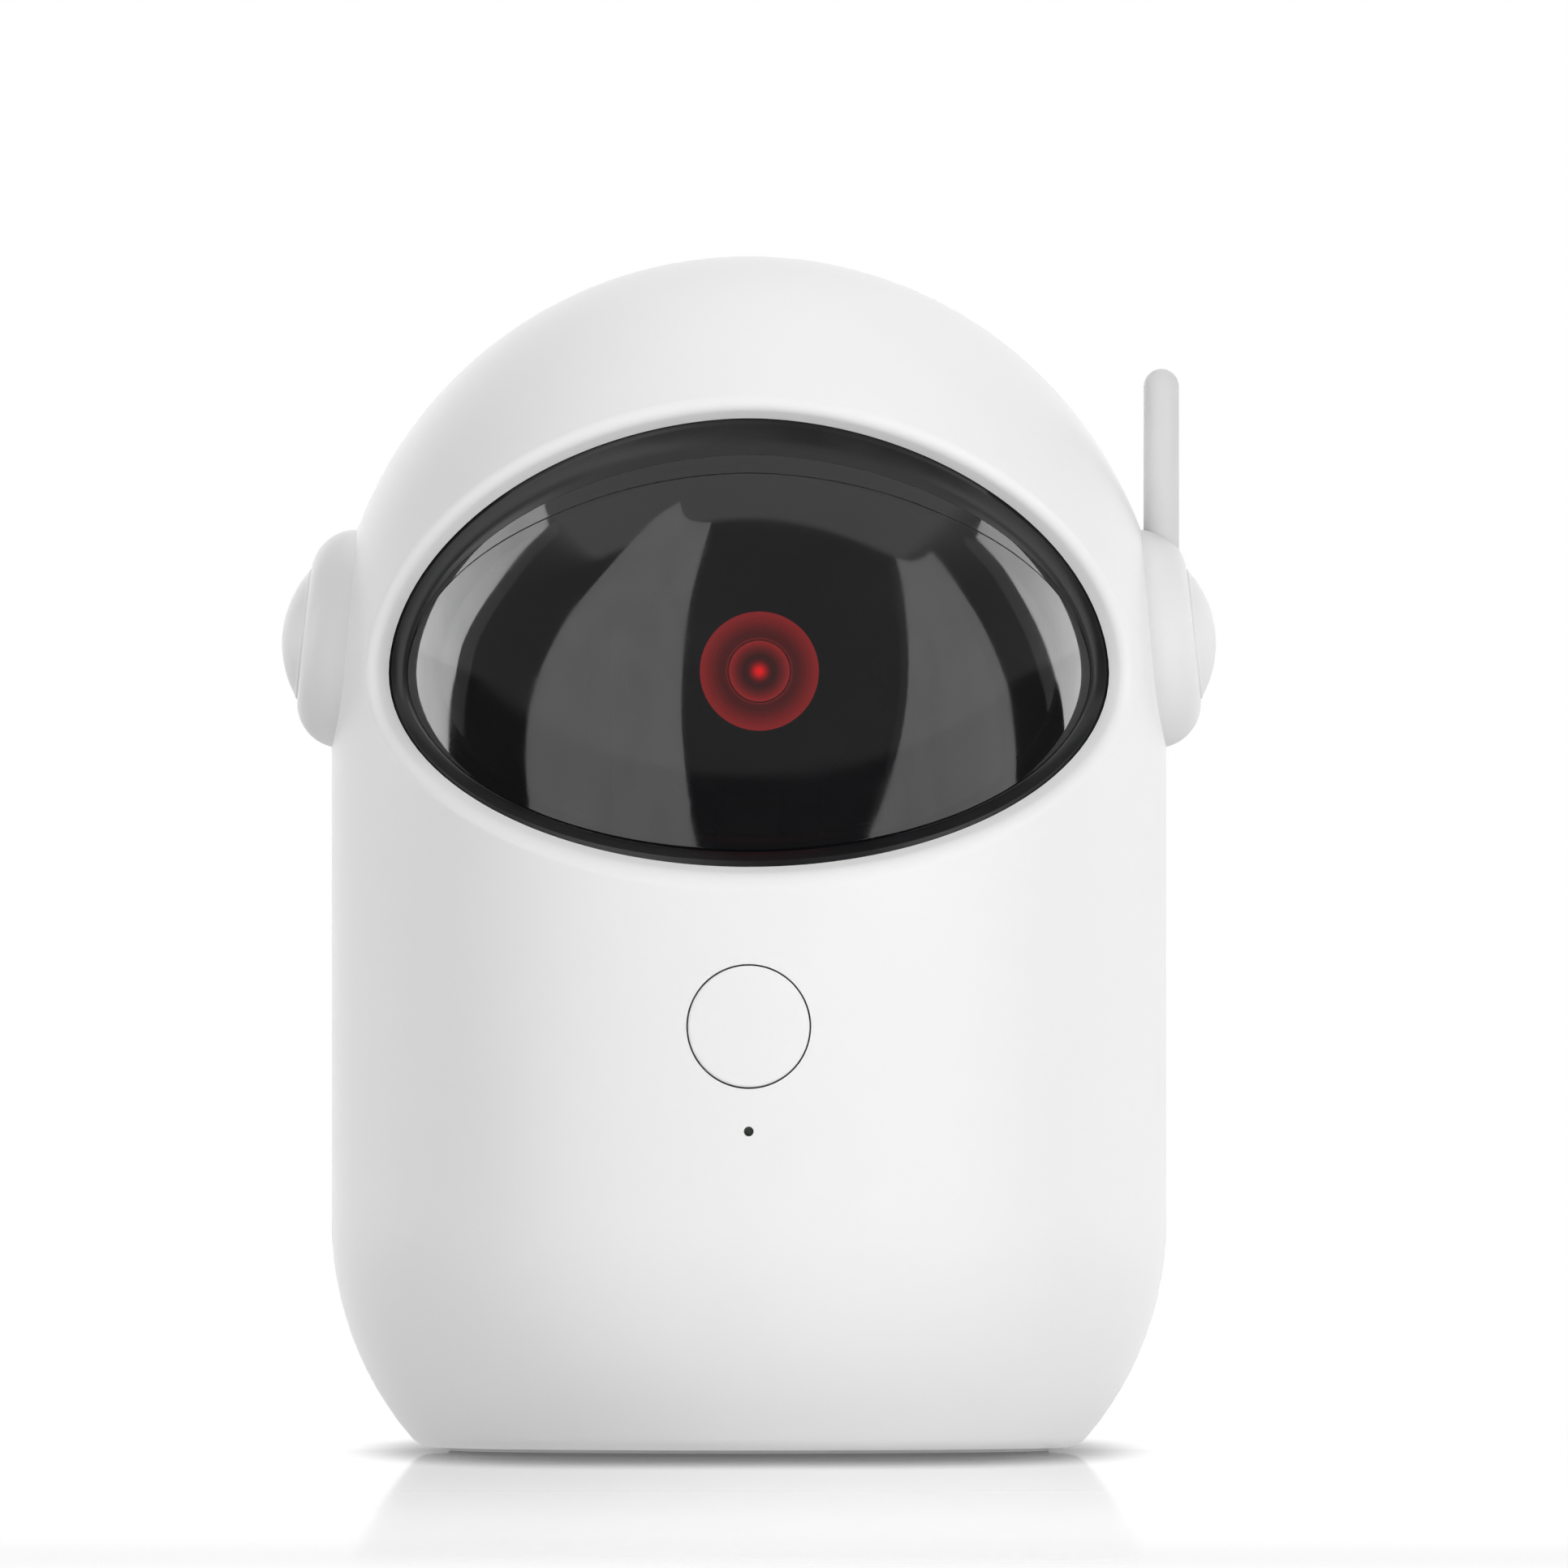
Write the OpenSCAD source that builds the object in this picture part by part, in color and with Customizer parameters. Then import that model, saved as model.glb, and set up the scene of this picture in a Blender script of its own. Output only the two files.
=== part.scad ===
// Automatic cat laser toy: a capsule body with a smoked visor, round ears and
// a short antenna, and a panning, tilting laser head behind the visor.
// Millimetres, +Z up, origin on the table under the body's axis, front on -Y.

/* [Body] */
// Outer radius of the round body
body_r = 40; // [39:0.5:41]
// Height of the dome's centre above the table
dome_z = 74.5; // [74:0.5:78]
// Wall thickness of the two shells
wall = 2.2; // [2:0.1:2.5]
// Radius of the curve that tucks the body in above the table
foot_round = 32; // [31:0.5:33]
// Height at which that curve starts
foot_round_z = 22; // [21:0.5:23]
// Gap between the shells and the table
ground_gap = 0.3; // [0.3:0.1:0.7]
// Radius of the rounding on the foot's edge
foot_edge_round = 3; // [2:0.25:4]
// Thickness of the lip that lines up the two shells
lip_t = 1; // [0.8:0.1:1.2]
// Depth of that lip
lip_h = 1.2; // [1:0.1:1.5]

/* [Visor] */
// Width of the shell's edge beside the visor opening, seen from the front
opening_side_w = 5.55; // [5.25:0.05:6.5]
// Height of the shell above the opening, seen from the front
opening_top_w = 15.7; // [15:0.1:17]
// Depth of the opening below the dome's centre
opening_down = 18.5; // [17.5:0.25:19]
// Roundness of the opening's upper half, where 2 is an ellipse
opening_power = 1.88; // [1.8:0.02:2.1]
// Radius of the rounding on the opening's edge
rim_round = 1.2; // [1:0.1:2]
// Gap between the shell's inner face and the visor
visor_gap = 1; // [0.9:0.05:1.2]
// Thickness of the visor
visor_t = 1.8; // [1.5:0.1:2]
// How far the visor runs on under the rim
visor_lap = 3; // [2.5:0.25:3.5]
// Width of the black bezel in the opening, at the top
bezel_top_w = 3.4; // [3:0.2:4]
// Width of the bezel at the sides
bezel_side_w = 1.9; // [1.6:0.1:2.2]
// Width of the bezel below the visor
bezel_low_w = 1.3; // [1.2:0.1:1.6]
// Height of the bezel's inner lip above the visor
bezel_lip = 0.5; // [0.4:0.05:0.6]
// How far the bezel runs on under the rim
bezel_lap = 2; // [1.5:0.25:2.25]
// Thickness of the ring that clamps the visor from behind
retainer_t = 1.5; // [1.2:0.1:1.8]

/* [Ears] */
// Radius of an ear pod
ear_r = 10.5; // [9.5:0.25:10.75]
// Depth of an ear pod outside the body
ear_depth = 4; // [3.8:0.1:4.4]
// Radius of the pod's rounded shoulder
ear_shoulder = 4.3; // [4:0.1:4.5]
// Upward tilt of the ear's axis, in degrees
ear_tilt = 6.3; // [5:0.1:8]
// Height of the ear's centre above the dome's centre
ear_rise = 3.35; // [2.5:0.25:4]
// How far the ear's seat lies inside the body's outer radius
ear_sink = 1.35; // [1.2:0.05:1.5]
// Radius of the hub that passes through the body's wall
ear_hub_r = 4; // [3.5:0.25:4.5]
// Radius of the domed cap on the ear
ear_cap_r = 6.3; // [5.5:0.1:6.5]
// Height of the cap above the pod's face
ear_cap_rise = 2.1; // [1.8:0.1:2.4]
// Diameter of the antenna
antenna_d = 3.4; // [3:0.1:3.6]
// Height of the antenna above the ear pod
antenna_h = 15.35; // [12:0.5:20]
// Distance from the body's skin out to the antenna's axis, at its foot
antenna_out = 1.15; // [1:0.05:1.5]

/* [Button] */
// Diameter of the power button
button_d = 11.6; // [11:0.2:12.2]
// Height of the button's centre above the table
button_z = 40.8; // [39.6:0.2:41.4]
// Gap around the button
button_gap = 0.15; // [0.1:0.05:0.2]
// Travel of the button
button_travel = 0.5; // [0.3:0.1:0.6]
// Diameter of the light's pinhole
pinhole_d = 0.93; // [0.8:0.1:1.5]
// Distance from the button's centre down to the pinhole
pinhole_drop = 10; // [9.8:0.2:11]

/* [Base] */
// Thickness of the base plate
plate_t = 2.2; // [2:0.1:2.4]
// Width of the shell's edge around the base plate
foot_edge_w = 2.1; // [1.8:0.1:2.5]
// Thickness of the ledge that the base plate screws up against
ledge_t = 1.8; // [1.5:0.1:2.2]
// Width of the rubber foot ring
foot_ring_w = 2; // [1.6:0.2:2.6]
// Distance from the base plate's rim in to the rubber foot ring
foot_ring_in = 0.4; // [0.3:0.05:0.9]
// Thickness of the rubber foot ring
foot_ring_t = 1; // [0.9:0.05:1.2]

/* [Laser head] */
// Radius of the ball that carries the laser
ball_r = 12; // [11.8:0.1:12.2]
// Wall thickness of the ball
ball_wall = 1.4; // [1.2:0.1:1.8]
// Radius of the red ring around the lens
lens_ring_r = 5.7; // [5.2:0.1:6]
// Radius of the laser barrel
barrel_r = 3; // [2.8:0.1:3.2]
// Length of the laser barrel
barrel_len = 10.5; // [9:0.5:12]
// How far the lens sits to the right of the ball's middle
lens_side = 1; // [0:0.25:1.5]
// Radius of the trunnion pins
pin_r = 1.5; // [1.3:0.1:1.6]
// Distance from the middle to the inner face of each upright
yoke_in = 13.2; // [13:0.1:13.6]
// Thickness of each upright
yoke_t = 2.2; // [1.8:0.1:2.3]

/* [Turret] */
// Distance from the dome's centre down to the underside of the deck
deck_drop = 25; // [24.5:0.25:25.5]
// Thickness of the deck
deck_t = 2; // [1.8:0.1:2.2]
// Thickness of the turntable
table_t = 2; // [1.8:0.1:2.4]
// Radius of the turntable
table_r = 21; // [20.5:0.25:23]
// Radius of the pan shaft
pan_shaft_r = 2.5; // [2.3:0.1:2.7]

/* [Gears] */
// Module of every gear, tooth size
gear_module = 0.5; // [0.48:0.01:0.52]
// Teeth of the pan gear
pan_teeth = 36; // [34:2:38]
// Teeth of the whole circle that the tilt sector is cut from
tilt_teeth = 52; // [50:2:52]
// Teeth of both pinions
pinion_teeth = 12; // [12:1:13]
// Thickness of the pan gear
pan_gear_t = 3; // [2.5:0.25:3]
// Thickness of the tilt sector gear
tilt_gear_t = 2; // [1.6:0.2:2.2]

/* [Electronics] */
// Length of the battery cell
cell_len = 50; // [48:0.5:51]
// Radius of the battery cell
cell_r = 7.1; // [7:0.1:7.2]
// Gap between the battery and the base's bosses in front of it
cell_gap = 2.6; // [1.6:0.1:3.6]
// Length of the pan motor's can
motor_len = 15; // [12:0.5:15]
// Width of the pan motor and its gearbox
motor_w = 12; // [10:0.5:12]
// Thickness of the pan motor and its gearbox
motor_d = 10; // [9:0.5:10]
// Length of the gearbox
gearbox_len = 9; // [8:0.5:9]
// Diameter of the tilt motor
tilt_motor_d = 6; // [5.6:0.1:6.2]
// Length of the tilt motor
tilt_motor_len = 20; // [18:0.5:20]
// Half the width of the main board
board_half_w = 15.5; // [15:0.25:15.75]
// Thickness of the circuit boards
board_t = 1.2; // [1:0.1:1.6]
// Gap between the front wall and the main board
board_gap = 6.6; // [6.4:0.1:7]
// Height of the charging port's centre
port_z = 25; // [24:0.5:27]
// Width of the charging socket
port_w = 8.94; // [8.9:0.02:9]
// Height of the charging socket
port_h = 3.26; // [3.2:0.02:3.3]

/* [Fits] */
// Gap between two pieces that are assembled together
fit = 0.1; // [0.08:0.01:0.12]
// Gap of a turning or sliding fit, on the radius
running = 0.05; // [0.03:0.01:0.06]

/* [Hidden] */
$fn = 96;

far = 4 * body_r;
big = 3 * body_r;
outline_steps = 72;
rim_steps = 4;
rim_start = 0.12;
edge_steps = 8;

// Shells
shell_in_r = body_r - wall;
opening_half_w = body_r - opening_side_w;
opening_up = body_r - opening_top_w;
foot_r = body_r - foot_round + sqrt(foot_round ^ 2 - (foot_round_z - ground_gap) ^ 2);
plate_top = ground_gap + plate_t;
plate_r = foot_r - foot_edge_w - 2 * fit;
foot_ring_r = plate_r - foot_ring_in;
ledge_z = plate_top + fit;
floor_z = ledge_z + ledge_t;
cell_lift = 0.2;
cell_z = floor_z + cell_r + cell_lift;
hair = 0.02;
screw_r = 1.2;
shank_r = 0.95;
pilot_r = 1;
screw_hole_r = 1.4;
screw_head_r = 2.4;
screw_head_h = 1.3;
screw_head_gap = 0.2;
flat_head_r = 2.16;
boss_r = 3;
foot_ring_wall = 0.7;
base_boss_at = foot_ring_r - foot_ring_w - screw_head_r - foot_ring_wall;
base_boss_angle = 60;
base_boss_angles = [base_boss_angle, 180 - base_boss_angle, 180 + base_boss_angle, -base_boss_angle];
base_boss_h = 9;
base_screw_len = 7;
ledge_r = base_boss_at + boss_r * 0.6;
tube_r = 4;
tube_in_r = screw_head_r + 0.3;
tube_inset = 10.5;
tube_drop = 30.5;
tube_gap = 0.8;
tube_x = body_r - tube_inset;
tube_low_z = cell_z + cell_r + tube_r + tube_gap;
tube_high_z = dome_z - tube_drop;
tube_floor_y = 5;
tube_pilot_len = 11;
shell_screw_len = 14;

// Visor stack, from the outside in. Its upper half is part of a ball. Its lower
// half is a barrel, whose upright arc has a radius larger by lens_bow.
lens_bow = 100;
visor_r = shell_in_r - visor_gap;
visor_in_r = visor_r - visor_t;
retainer_r = visor_in_r - fit;
retainer_in_r = retainer_r - retainer_t;
retainer_lap = visor_lap + 1;
tab_r = 3.6;
tab_lap = retainer_lap + tab_r - 0.6;
tab_azimuths = [45, 135, -38, -142];
bezel_widen = 2.1;
bezel_edge = 0.4;
retainer_boss_r = 2;
retainer_boss_grip = 2.4;
small_screw_r = 0.8;
small_pilot_r = 0.7;
small_shank_r = small_pilot_r - 0.05;
small_head_r = 1.5;
small_head_h = 0.9;

// Ears
ear_x = body_r - ear_sink;
ear_z = dome_z + ear_rise;
ear_flange_r = ear_hub_r + 1.5;
ear_reach = ear_x * cos(ear_tilt) + ear_rise * sin(ear_tilt);
ear_flange_u = sqrt(shell_in_r ^ 2 - ear_flange_r ^ 2) - ear_reach - 0.25;
ear_flange_t = 1.2;
cap_pocket = 1.2;
cap_sphere_r = (ear_cap_r ^ 2 + ear_cap_rise ^ 2) / (2 * ear_cap_rise);
cap_stem_r = 1.5;
cap_stem_len = 3;
antenna_sink = 2.6;
antenna_foot_z = ear_z + ear_r - antenna_sink;
antenna_x = sqrt(body_r ^ 2 - (antenna_foot_z - dome_z) ^ 2) + antenna_out;
antenna_top_z = ear_z + ear_r + antenna_h;

// Button, switch and main board
button_r = button_d / 2;
button_hole_r = button_r + button_gap;
button_flange_r = button_r + 1.1;
button_flange_t = 0.8;
button_stop_y = -sqrt(shell_in_r ^ 2 - button_flange_r ^ 2) + 0.1;
button_guide_r = button_flange_r + 0.3;
button_guide_t = 1.2;
button_guide_y = button_stop_y + 2.6;
board_y = -(shell_in_r - board_gap);
board_front_y = board_y;
board_back_y = board_y + board_t;
switch_w = 6;
switch_d = 3.5;
switch_face_y = board_front_y - fit - switch_d;
plunger_r = 1.7;
plunger_out = 0.9;
plunger_in = 1.3;
plunger_face_y = switch_face_y - plunger_out;
led_z = button_z - pinhole_drop;
led_r = 1.5;
board_below = 6.4;
board_above = 7.4;
board_hole_in = 2.7;
board_low_z = led_z - board_below;
board_high_z = button_z + board_above;
board_hole_x = board_half_w - board_hole_in;
board_hole_low = board_low_z + board_hole_in;
board_hole_high = board_high_z - board_hole_in;
board_boss_r = 2.4;
board_pilot_len = 4.5;
board_screw_grip = 3;
solder = 0.05;
chip_w = 7;
chip_t = 1.2;
part_w = 2;
part_x = 8;
part_pitch = 5;
connector_wall = 0.6;
connector_x = 5;
connector_w = 6;
connector_d = 5;
connector_h = 3.4;
connector_z = board_low_z + 1 + connector_h / 2;

// Turret
deck_z = dome_z - deck_drop;
deck_top = deck_z + deck_t;
deck_gap = 0.4;
deck_r = shell_in_r - deck_gap;
deck_boss_in = 5;
deck_boss_at = body_r - deck_boss_in;
deck_boss_angles = [55, 125, 235, 305];
deck_boss_len = 8;
deck_boss_floor = 1.5;
deck_screw_len = 6.5;
bracket_screw_len = 5.5;
bush_wall = 1.5;
bush_in_r = pan_shaft_r + running;
bush_r = bush_in_r + bush_wall;
bush_flange = 0.7;
table_z = deck_top + bush_flange + fit;
table_top = table_z + table_t;
pan_gear_top = deck_z - 1.5;
pan_gear_z = pan_gear_top - pan_gear_t;
pinion_pitch_r = gear_module * pinion_teeth / 2;
pan_pitch_r = gear_module * pan_teeth / 2;
tilt_pitch_r = gear_module * tilt_teeth / 2;
pan_distance = pan_pitch_r + pinion_pitch_r;
tilt_distance = tilt_pitch_r + pinion_pitch_r;
tooth_out = 0.8 * gear_module;
tooth_in = 1.2 * gear_module;
tooth_slack = 0.12;
pressure_angle = 20;
flank_steps = 4;
motor_shaft_r = 1.5;
bracket_t = 1.6;
bracket_top = pan_gear_z - 0.4;
bracket_z = bracket_top - bracket_t;
bracket_post_x = max(motor_w / 2 + 8, pan_pitch_r + 5);
bracket_post_r = 2.6;
gearbox_z = bracket_z - gearbox_len;
motor_z = gearbox_z - motor_len;

// Uprights, ball and tilt drive
yoke_out = yoke_in + yoke_t;
yoke_foot_w = 4.1;
yoke_foot_t = 2;
yoke_head_r = 4.5;
yoke_neck = yoke_head_r * 0.9;
yoke_screw_x = yoke_out + 2.2;
yoke_screw_y = 5;
yoke_screw_short = 0.4;
yoke_screw_head_r = 1.9;
yoke_screw_head_h = 1;
yoke_edge = 2.6;
yoke_half_w = 7;
yoke_arm = 2.5;
tilt_gear_x = yoke_out + 0.4;
tilt_motor_r = tilt_motor_d / 2;
tilt_drive = tilt_distance * cos(45);
tilt_motor_z = dome_z - tilt_drive;
tilt_shaft_r = 0.5;
tilt_sector_from = -100;
tilt_sector_to = -22;
clip_t = 1.5;
clip_len = 4;
lens_z = dome_z + 0.2;
lens_seat = 2.6;
lens_out = 0.2;
lens_t = 0.6;
barrel_in = 1;
lens_seat_y = -(ball_r - lens_seat);
lens_front_y = -(ball_r + lens_out);
barrel_front_y = -(ball_r - barrel_in);
barrel_sleeve_t = 1.4;
pin_from = ball_r - 3.8;
pod_screw_z = ball_r * 0.64;
pod_boss_r = 1.9;

// Battery and charging parts
cell_front = base_boss_at * sin(base_boss_angle) - boss_r - cell_r - cell_gap;
saddle_t = 2;
saddle_end = 9;
saddle_x = cell_len / 2 - saddle_end;
saddle_wall = 1.5;
foam_half_w = 3;
shelf_z = port_z - port_h / 2 - fit - board_t;
shelf_t = 1.9;
charge_half_w = 9.5;
charge_front_y = pan_distance + motor_d / 2 + 1.5;
port_face_y = body_r - 1.7;
port_len = 7.3;
port_shell_t = 0.3;
port_recess_w = port_w + 3.6;
port_recess_h = port_h + 3.9;
port_recess_d = 1.2;
charge_back_y = port_face_y - 1.8;
lead_r = 0.6;
lead_gap = 0.05;
lead_pitch = 0.9;
lead_bend = 2.5;
lead_side = 14;
lead_back = 9;
lead_out = 6.8;
plug_in = 1.8;
terminal_x = 3.2;
terminal_pitch = 1.6;
cell_cap = 0.8;

// ---------------------------------------------------------------- shared shapes

// Half outline of the body, moved inwards by inset and cut off below floor_at
module body_profile(inset, floor_at) {
    intersection() {
        translate([0, dome_z])
            circle(body_r - inset);
        translate([0, dome_z])
            square([2 * body_r, 2 * body_r]);
    }
    translate([0, foot_round_z])
        square([body_r - inset, dome_z - foot_round_z]);
    if (inset == 0)
        rounded_foot();
    else
        intersection() {
            translate([body_r - foot_round, foot_round_z])
                circle(foot_round - inset);
            translate([body_r - foot_round, floor_at])
                square([2 * foot_round, foot_round_z - floor_at]);
        }
    translate([0, floor_at])
        square([body_r - foot_round, foot_round_z - floor_at]);
}

// The foot's curve with its edge rounded, as a half outline
module rounded_foot() {
    middle = [body_r - foot_round, foot_round_z];
    drop = foot_round_z - ground_gap - foot_edge_round;
    across = sqrt((foot_round - foot_edge_round) ^ 2 - drop ^ 2);
    centre = middle + [across, -drop];
    turn = acos(across / (foot_round - foot_edge_round));
    edge = [for (k = [1 : edge_steps])
        let (a = -turn - (90 - turn) * k / edge_steps) centre + foot_edge_round * [cos(a), sin(a)]];
    intersection() {
        translate(middle)
            circle(foot_round);
        polygon(concat([middle, middle + [2 * foot_round, 0],
                        middle + 2 * foot_round * [cos(turn), -sin(turn)]],
                       edge, [[middle.x, ground_gap]]));
    }
}

module body_solid(inset = 0, floor_at = ground_gap) {
    rotate_extrude($fn = 128)
        body_profile(inset, floor_at);
}

// A slab across the whole object from y1 to y2
module slab(y1, y2) {
    translate([-big, y1, -big])
        cube([2 * big, y2 - y1, 4 * big]);
}

// A cylinder along +Y from y1 to y2
module rod_y(x, z, r, y1, y2) {
    translate([x, y1, z])
        rotate([-90, 0, 0])
            cylinder(r = r, h = y2 - y1);
}

// A cylinder along +X from x1 to x2
module rod_x(y, z, r, x1, x2) {
    translate([x1, y, z])
        rotate([0, 90, 0])
            cylinder(r = r, h = x2 - x1);
}

module block(x1, x2, y1, y2, z1, z2) {
    translate([x1, y1, z1])
        cube([x2 - x1, y2 - y1, z2 - z1]);
}

// A screw with its head's underside at the origin and its shank along -Z
module screw(r, length, head_r, head_h) {
    slot = head_r * 0.35;
    difference() {
        union() {
            cylinder(r = head_r, h = head_h);
            translate([0, 0, -length])
                cylinder(r = r, h = length + head_h / 2);
        }
        for (turn = [0, 90])
            rotate([0, 0, turn])
                translate([-head_r * 0.6, -slot / 2, head_h * 0.4])
                    cube([head_r * 1.2, slot, head_h]);
    }
}

module small_screw(length) {
    screw(small_shank_r, length, small_head_r, small_head_h);
}

// Visor opening, as rays from the dome's centre. An azimuth t runs round the
// opening from +X over the top, and a is the angle from straight ahead.
function ray(t, a) = [sin(a) * cos(t), -cos(a), sin(a) * sin(t)];
function opening_r(t) =
    let (
        high = sin(t) >= 0,
        power = high ? opening_power : 2,
        height = high ? opening_up : opening_down,
        across = (abs(cos(t)) / opening_half_w) ^ power,
        along = (abs(sin(t)) / height) ^ power
    ) (across + along) ^ (-1 / power);
function opening_depth(t) =
    let (
        r = opening_r(t),
        drop = sin(t) >= 0 ? r : r * cos(t)
    ) sqrt(shell_in_r ^ 2 - drop ^ 2);
function arc_angle(arc) = arc / visor_r * 180 / PI;
function opening_angle(t, arc = 0) = atan2(opening_r(t), opening_depth(t)) + arc_angle(arc);

// Distance from the dome's centre to the body's skin, moved inwards by inset
function skin_at(t, a, inset) =
    let (d = ray(t, a)) (body_r - inset) / (d.z >= 0 ? 1 : sqrt(1 - d.z ^ 2));

// Distance from the dome's centre to a face of the visor stack, along d. The
// face has the radius r at the dome's centre.
function lens_at(d, r) =
    let (bow = lens_bow * sqrt(1 - d.z ^ 2))
        d.z >= 0 ? r : sqrt(bow ^ 2 - lens_bow ^ 2 + (r + lens_bow) ^ 2) - bow;

// Inner edge of the bezel, on the visor's outer face
function bezel_angle(t) =
    let (
        half_w = opening_half_w - bezel_side_w * cos(asin(opening_half_w / shell_in_r)) * bezel_widen,
        height = sin(t) >= 0 ? opening_up - bezel_top_w : opening_down - bezel_low_w,
        power = sin(t) >= 0 ? opening_power : 2,
        sum = (abs(cos(t)) / half_w) ^ power + (abs(sin(t)) / height) ^ power,
        r = sum ^ (-1 / power),
        bow = sin(t) >= 0 ? 0 : lens_bow,
        across = sqrt((visor_r + bow) ^ 2 - (r * sin(t)) ^ 2) - bow
    ) atan2(r, sqrt(across ^ 2 - (r * cos(t)) ^ 2));

function turns() = [for (i = [0 : outline_steps - 1]) i * 360 / outline_steps];

// A solid cone from the dome's centre, through one ray for each turn
module ray_cone(rays) {
    points = [[0, 0, 0], for (d = rays) far * d, [0, -far, 0]];
    last = outline_steps + 1;
    faces = [
        for (i = [1 : outline_steps])
            let (next = i % outline_steps + 1)
                each [[0, i, next], [last, next, i]]
    ];
    translate([0, 0, dome_z])
        polyhedron(points, faces);
}

module opening_cone(arc) {
    ray_cone([for (t = turns()) ray(t, opening_angle(t, arc))]);
}

module bezel_cone() {
    ray_cone([for (t = turns()) ray(t, bezel_angle(t))]);
}

// Cutter of the visor opening, with the rounding of its edge
module opening_cutter() {
    // Each step of the rounding: how deep it is, and how far outside the opening
    steps = [
        for (k = [0 : rim_steps])
            let (f = 90 * k / rim_steps)
                [k == 0 ? -rim_start : rim_round * (1 - cos(f)), rim_round * (1 - sin(f))]
    ];
    rings = [
        for (step = steps)
            [for (t = turns())
                let (a = opening_angle(t, step[1])) skin_at(t, a, step[0]) * ray(t, a)]
    ];
    outer = [for (t = turns()) far * ray(t, opening_angle(t, rim_round))];
    points = [[0, 0, 0], for (k = [rim_steps : -1 : 0]) each rings[k], each outer, [0, -far, 0]];
    count = rim_steps + 2;
    last = len(points) - 1;
    faces = [
        for (i = [0 : outline_steps - 1])
            let (j = (i + 1) % outline_steps)
                each [
                    [0, 1 + i, 1 + j],
                    for (k = [0 : count - 2])
                        let (low = 1 + k * outline_steps, high = low + outline_steps)
                            each [[low + i, high + i, high + j], [low + i, high + j, low + j]],
                    [last, 1 + (count - 1) * outline_steps + j, 1 + (count - 1) * outline_steps + i]
                ]
    ];
    translate([0, 0, dome_z])
        polyhedron(points, faces);
}

// Fills the visor stack's shape, inside its face of radius r
module lens_solid(r) {
    translate([0, 0, dome_z])
        rotate_extrude($fn = 160) {
            intersection() {
                circle(r, $fn = 160);
                square(r);
            }
            intersection() {
                translate([-lens_bow, 0])
                    circle(r + lens_bow, $fn = 640);
                translate([0, -body_r])
                    square([r, body_r]);
            }
        }
}

// Puts children on the clamp ring's tabs. Their +Z points outwards, square to
// the ring, and the ring's faces are as far along it as their radii.
module at_tabs() {
    for (t = tab_azimuths)
        let (
            d = ray(t, opening_angle(t, tab_lap)),
            bow = d.z >= 0 ? 0 : lens_bow,
            level = bow * [d.x, d.y, 0] / norm([d.x, d.y]),
            out = (lens_at(d, retainer_r) * d + level) / (retainer_r + bow)
        )
            translate([0, 0, dome_z])
                translate(bow * out - level)
                    rotate([0, acos(out.z), atan2(out.y, out.x)])
                        children();
}

// Puts children on an ear's axis, with +Z pointing away from the body
module on_ear(side) {
    translate([side * ear_x, 0, ear_z])
        rotate([0, side * (90 - ear_tilt), 0])
            children();
}

// Tooth outline: half its angle, in degrees, at radius r
function unwound(base, r) = r > base ? tan(acos(base / r)) * 180 / PI - acos(base / r) : 0;
function tooth_half(teeth, r) =
    let (
        pitch = gear_module * teeth / 2,
        base = pitch * cos(pressure_angle),
        at_pitch = 90 / teeth - tooth_slack / 2 / pitch * 180 / PI
    ) at_pitch + unwound(base, pitch) - unwound(base, r);

// Gear outline with a tooth centred on the angle phase, count teeth from there
function gear_points(teeth, phase, count) =
    let (
        root = gear_module * teeth / 2 - tooth_in,
        tip = gear_module * teeth / 2 + tooth_out,
        radii = [for (k = [0 : flank_steps]) root + (tip - root) * k / flank_steps],
        back = [for (k = [flank_steps : -1 : 0]) radii[k]]
    ) [
        for (i = [0 : count - 1])
            let (middle = phase + i * 360 / teeth)
                each concat(
                    [for (r = radii) let (a = middle - tooth_half(teeth, r)) r * [cos(a), sin(a)]],
                    [for (r = back) let (a = middle + tooth_half(teeth, r)) r * [cos(a), sin(a)]]
                )
    ];

// A whole gear on +Z with a tooth on the angle phase
module gear(teeth, phase, thickness, bore_r) {
    difference() {
        linear_extrude(thickness)
            polygon(gear_points(teeth, phase, teeth));
        translate([0, 0, -1])
            cylinder(r = bore_r, h = thickness + 2);
    }
}

// A lead: straight runs between points, with a ball at each bend
module lead(points) {
    for (i = [0 : len(points) - 2]) {
        run = points[i + 1] - points[i];
        length = norm(run);
        translate(points[i])
            rotate([0, acos(run.z / length), atan2(run.y, run.x)])
                cylinder(r = lead_r, h = length, $fn = 24);
    }
    for (i = [1 : len(points) - 2])
        translate(points[i])
            sphere(lead_r * 1.02, $fn = 24);
}

// ---------------------------------------------------------------- shells

module at_base_bosses() {
    for (angle = base_boss_angles)
        rotate([0, 0, angle])
            translate([base_boss_at, 0, 0])
                children();
}

module at_shell_tubes() {
    for (x = [-tube_x, tube_x], z = [tube_low_z, tube_high_z])
        translate([x, 0, z])
            rotate([-90, 0, 0])
                children();
}

module at_deck_bosses() {
    for (angle = deck_boss_angles)
        rotate([0, 0, angle])
            translate([deck_boss_at, 0, 0])
                children();
}

module at_board_holes() {
    for (x = [-board_hole_x, board_hole_x], z = [board_hole_low, board_hole_high])
        translate([x, board_back_y, z])
            rotate([-90, 0, 0])
                children();
}

// The wall, its foot ledge and the recess for the base plate. The children are
// bosses that stay standing in the hollow.
module shell_wall() {
    difference() {
        body_solid();
        difference() {
            union() {
                body_solid(wall, floor_z);
                translate([0, 0, ledge_z - 1])
                    cylinder(r = ledge_r, h = floor_z - ledge_z + 2);
            }
            children();
        }
        translate([0, 0, -1])
            cylinder(r = plate_r + fit, h = ledge_z + 1);
    }
}

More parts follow.
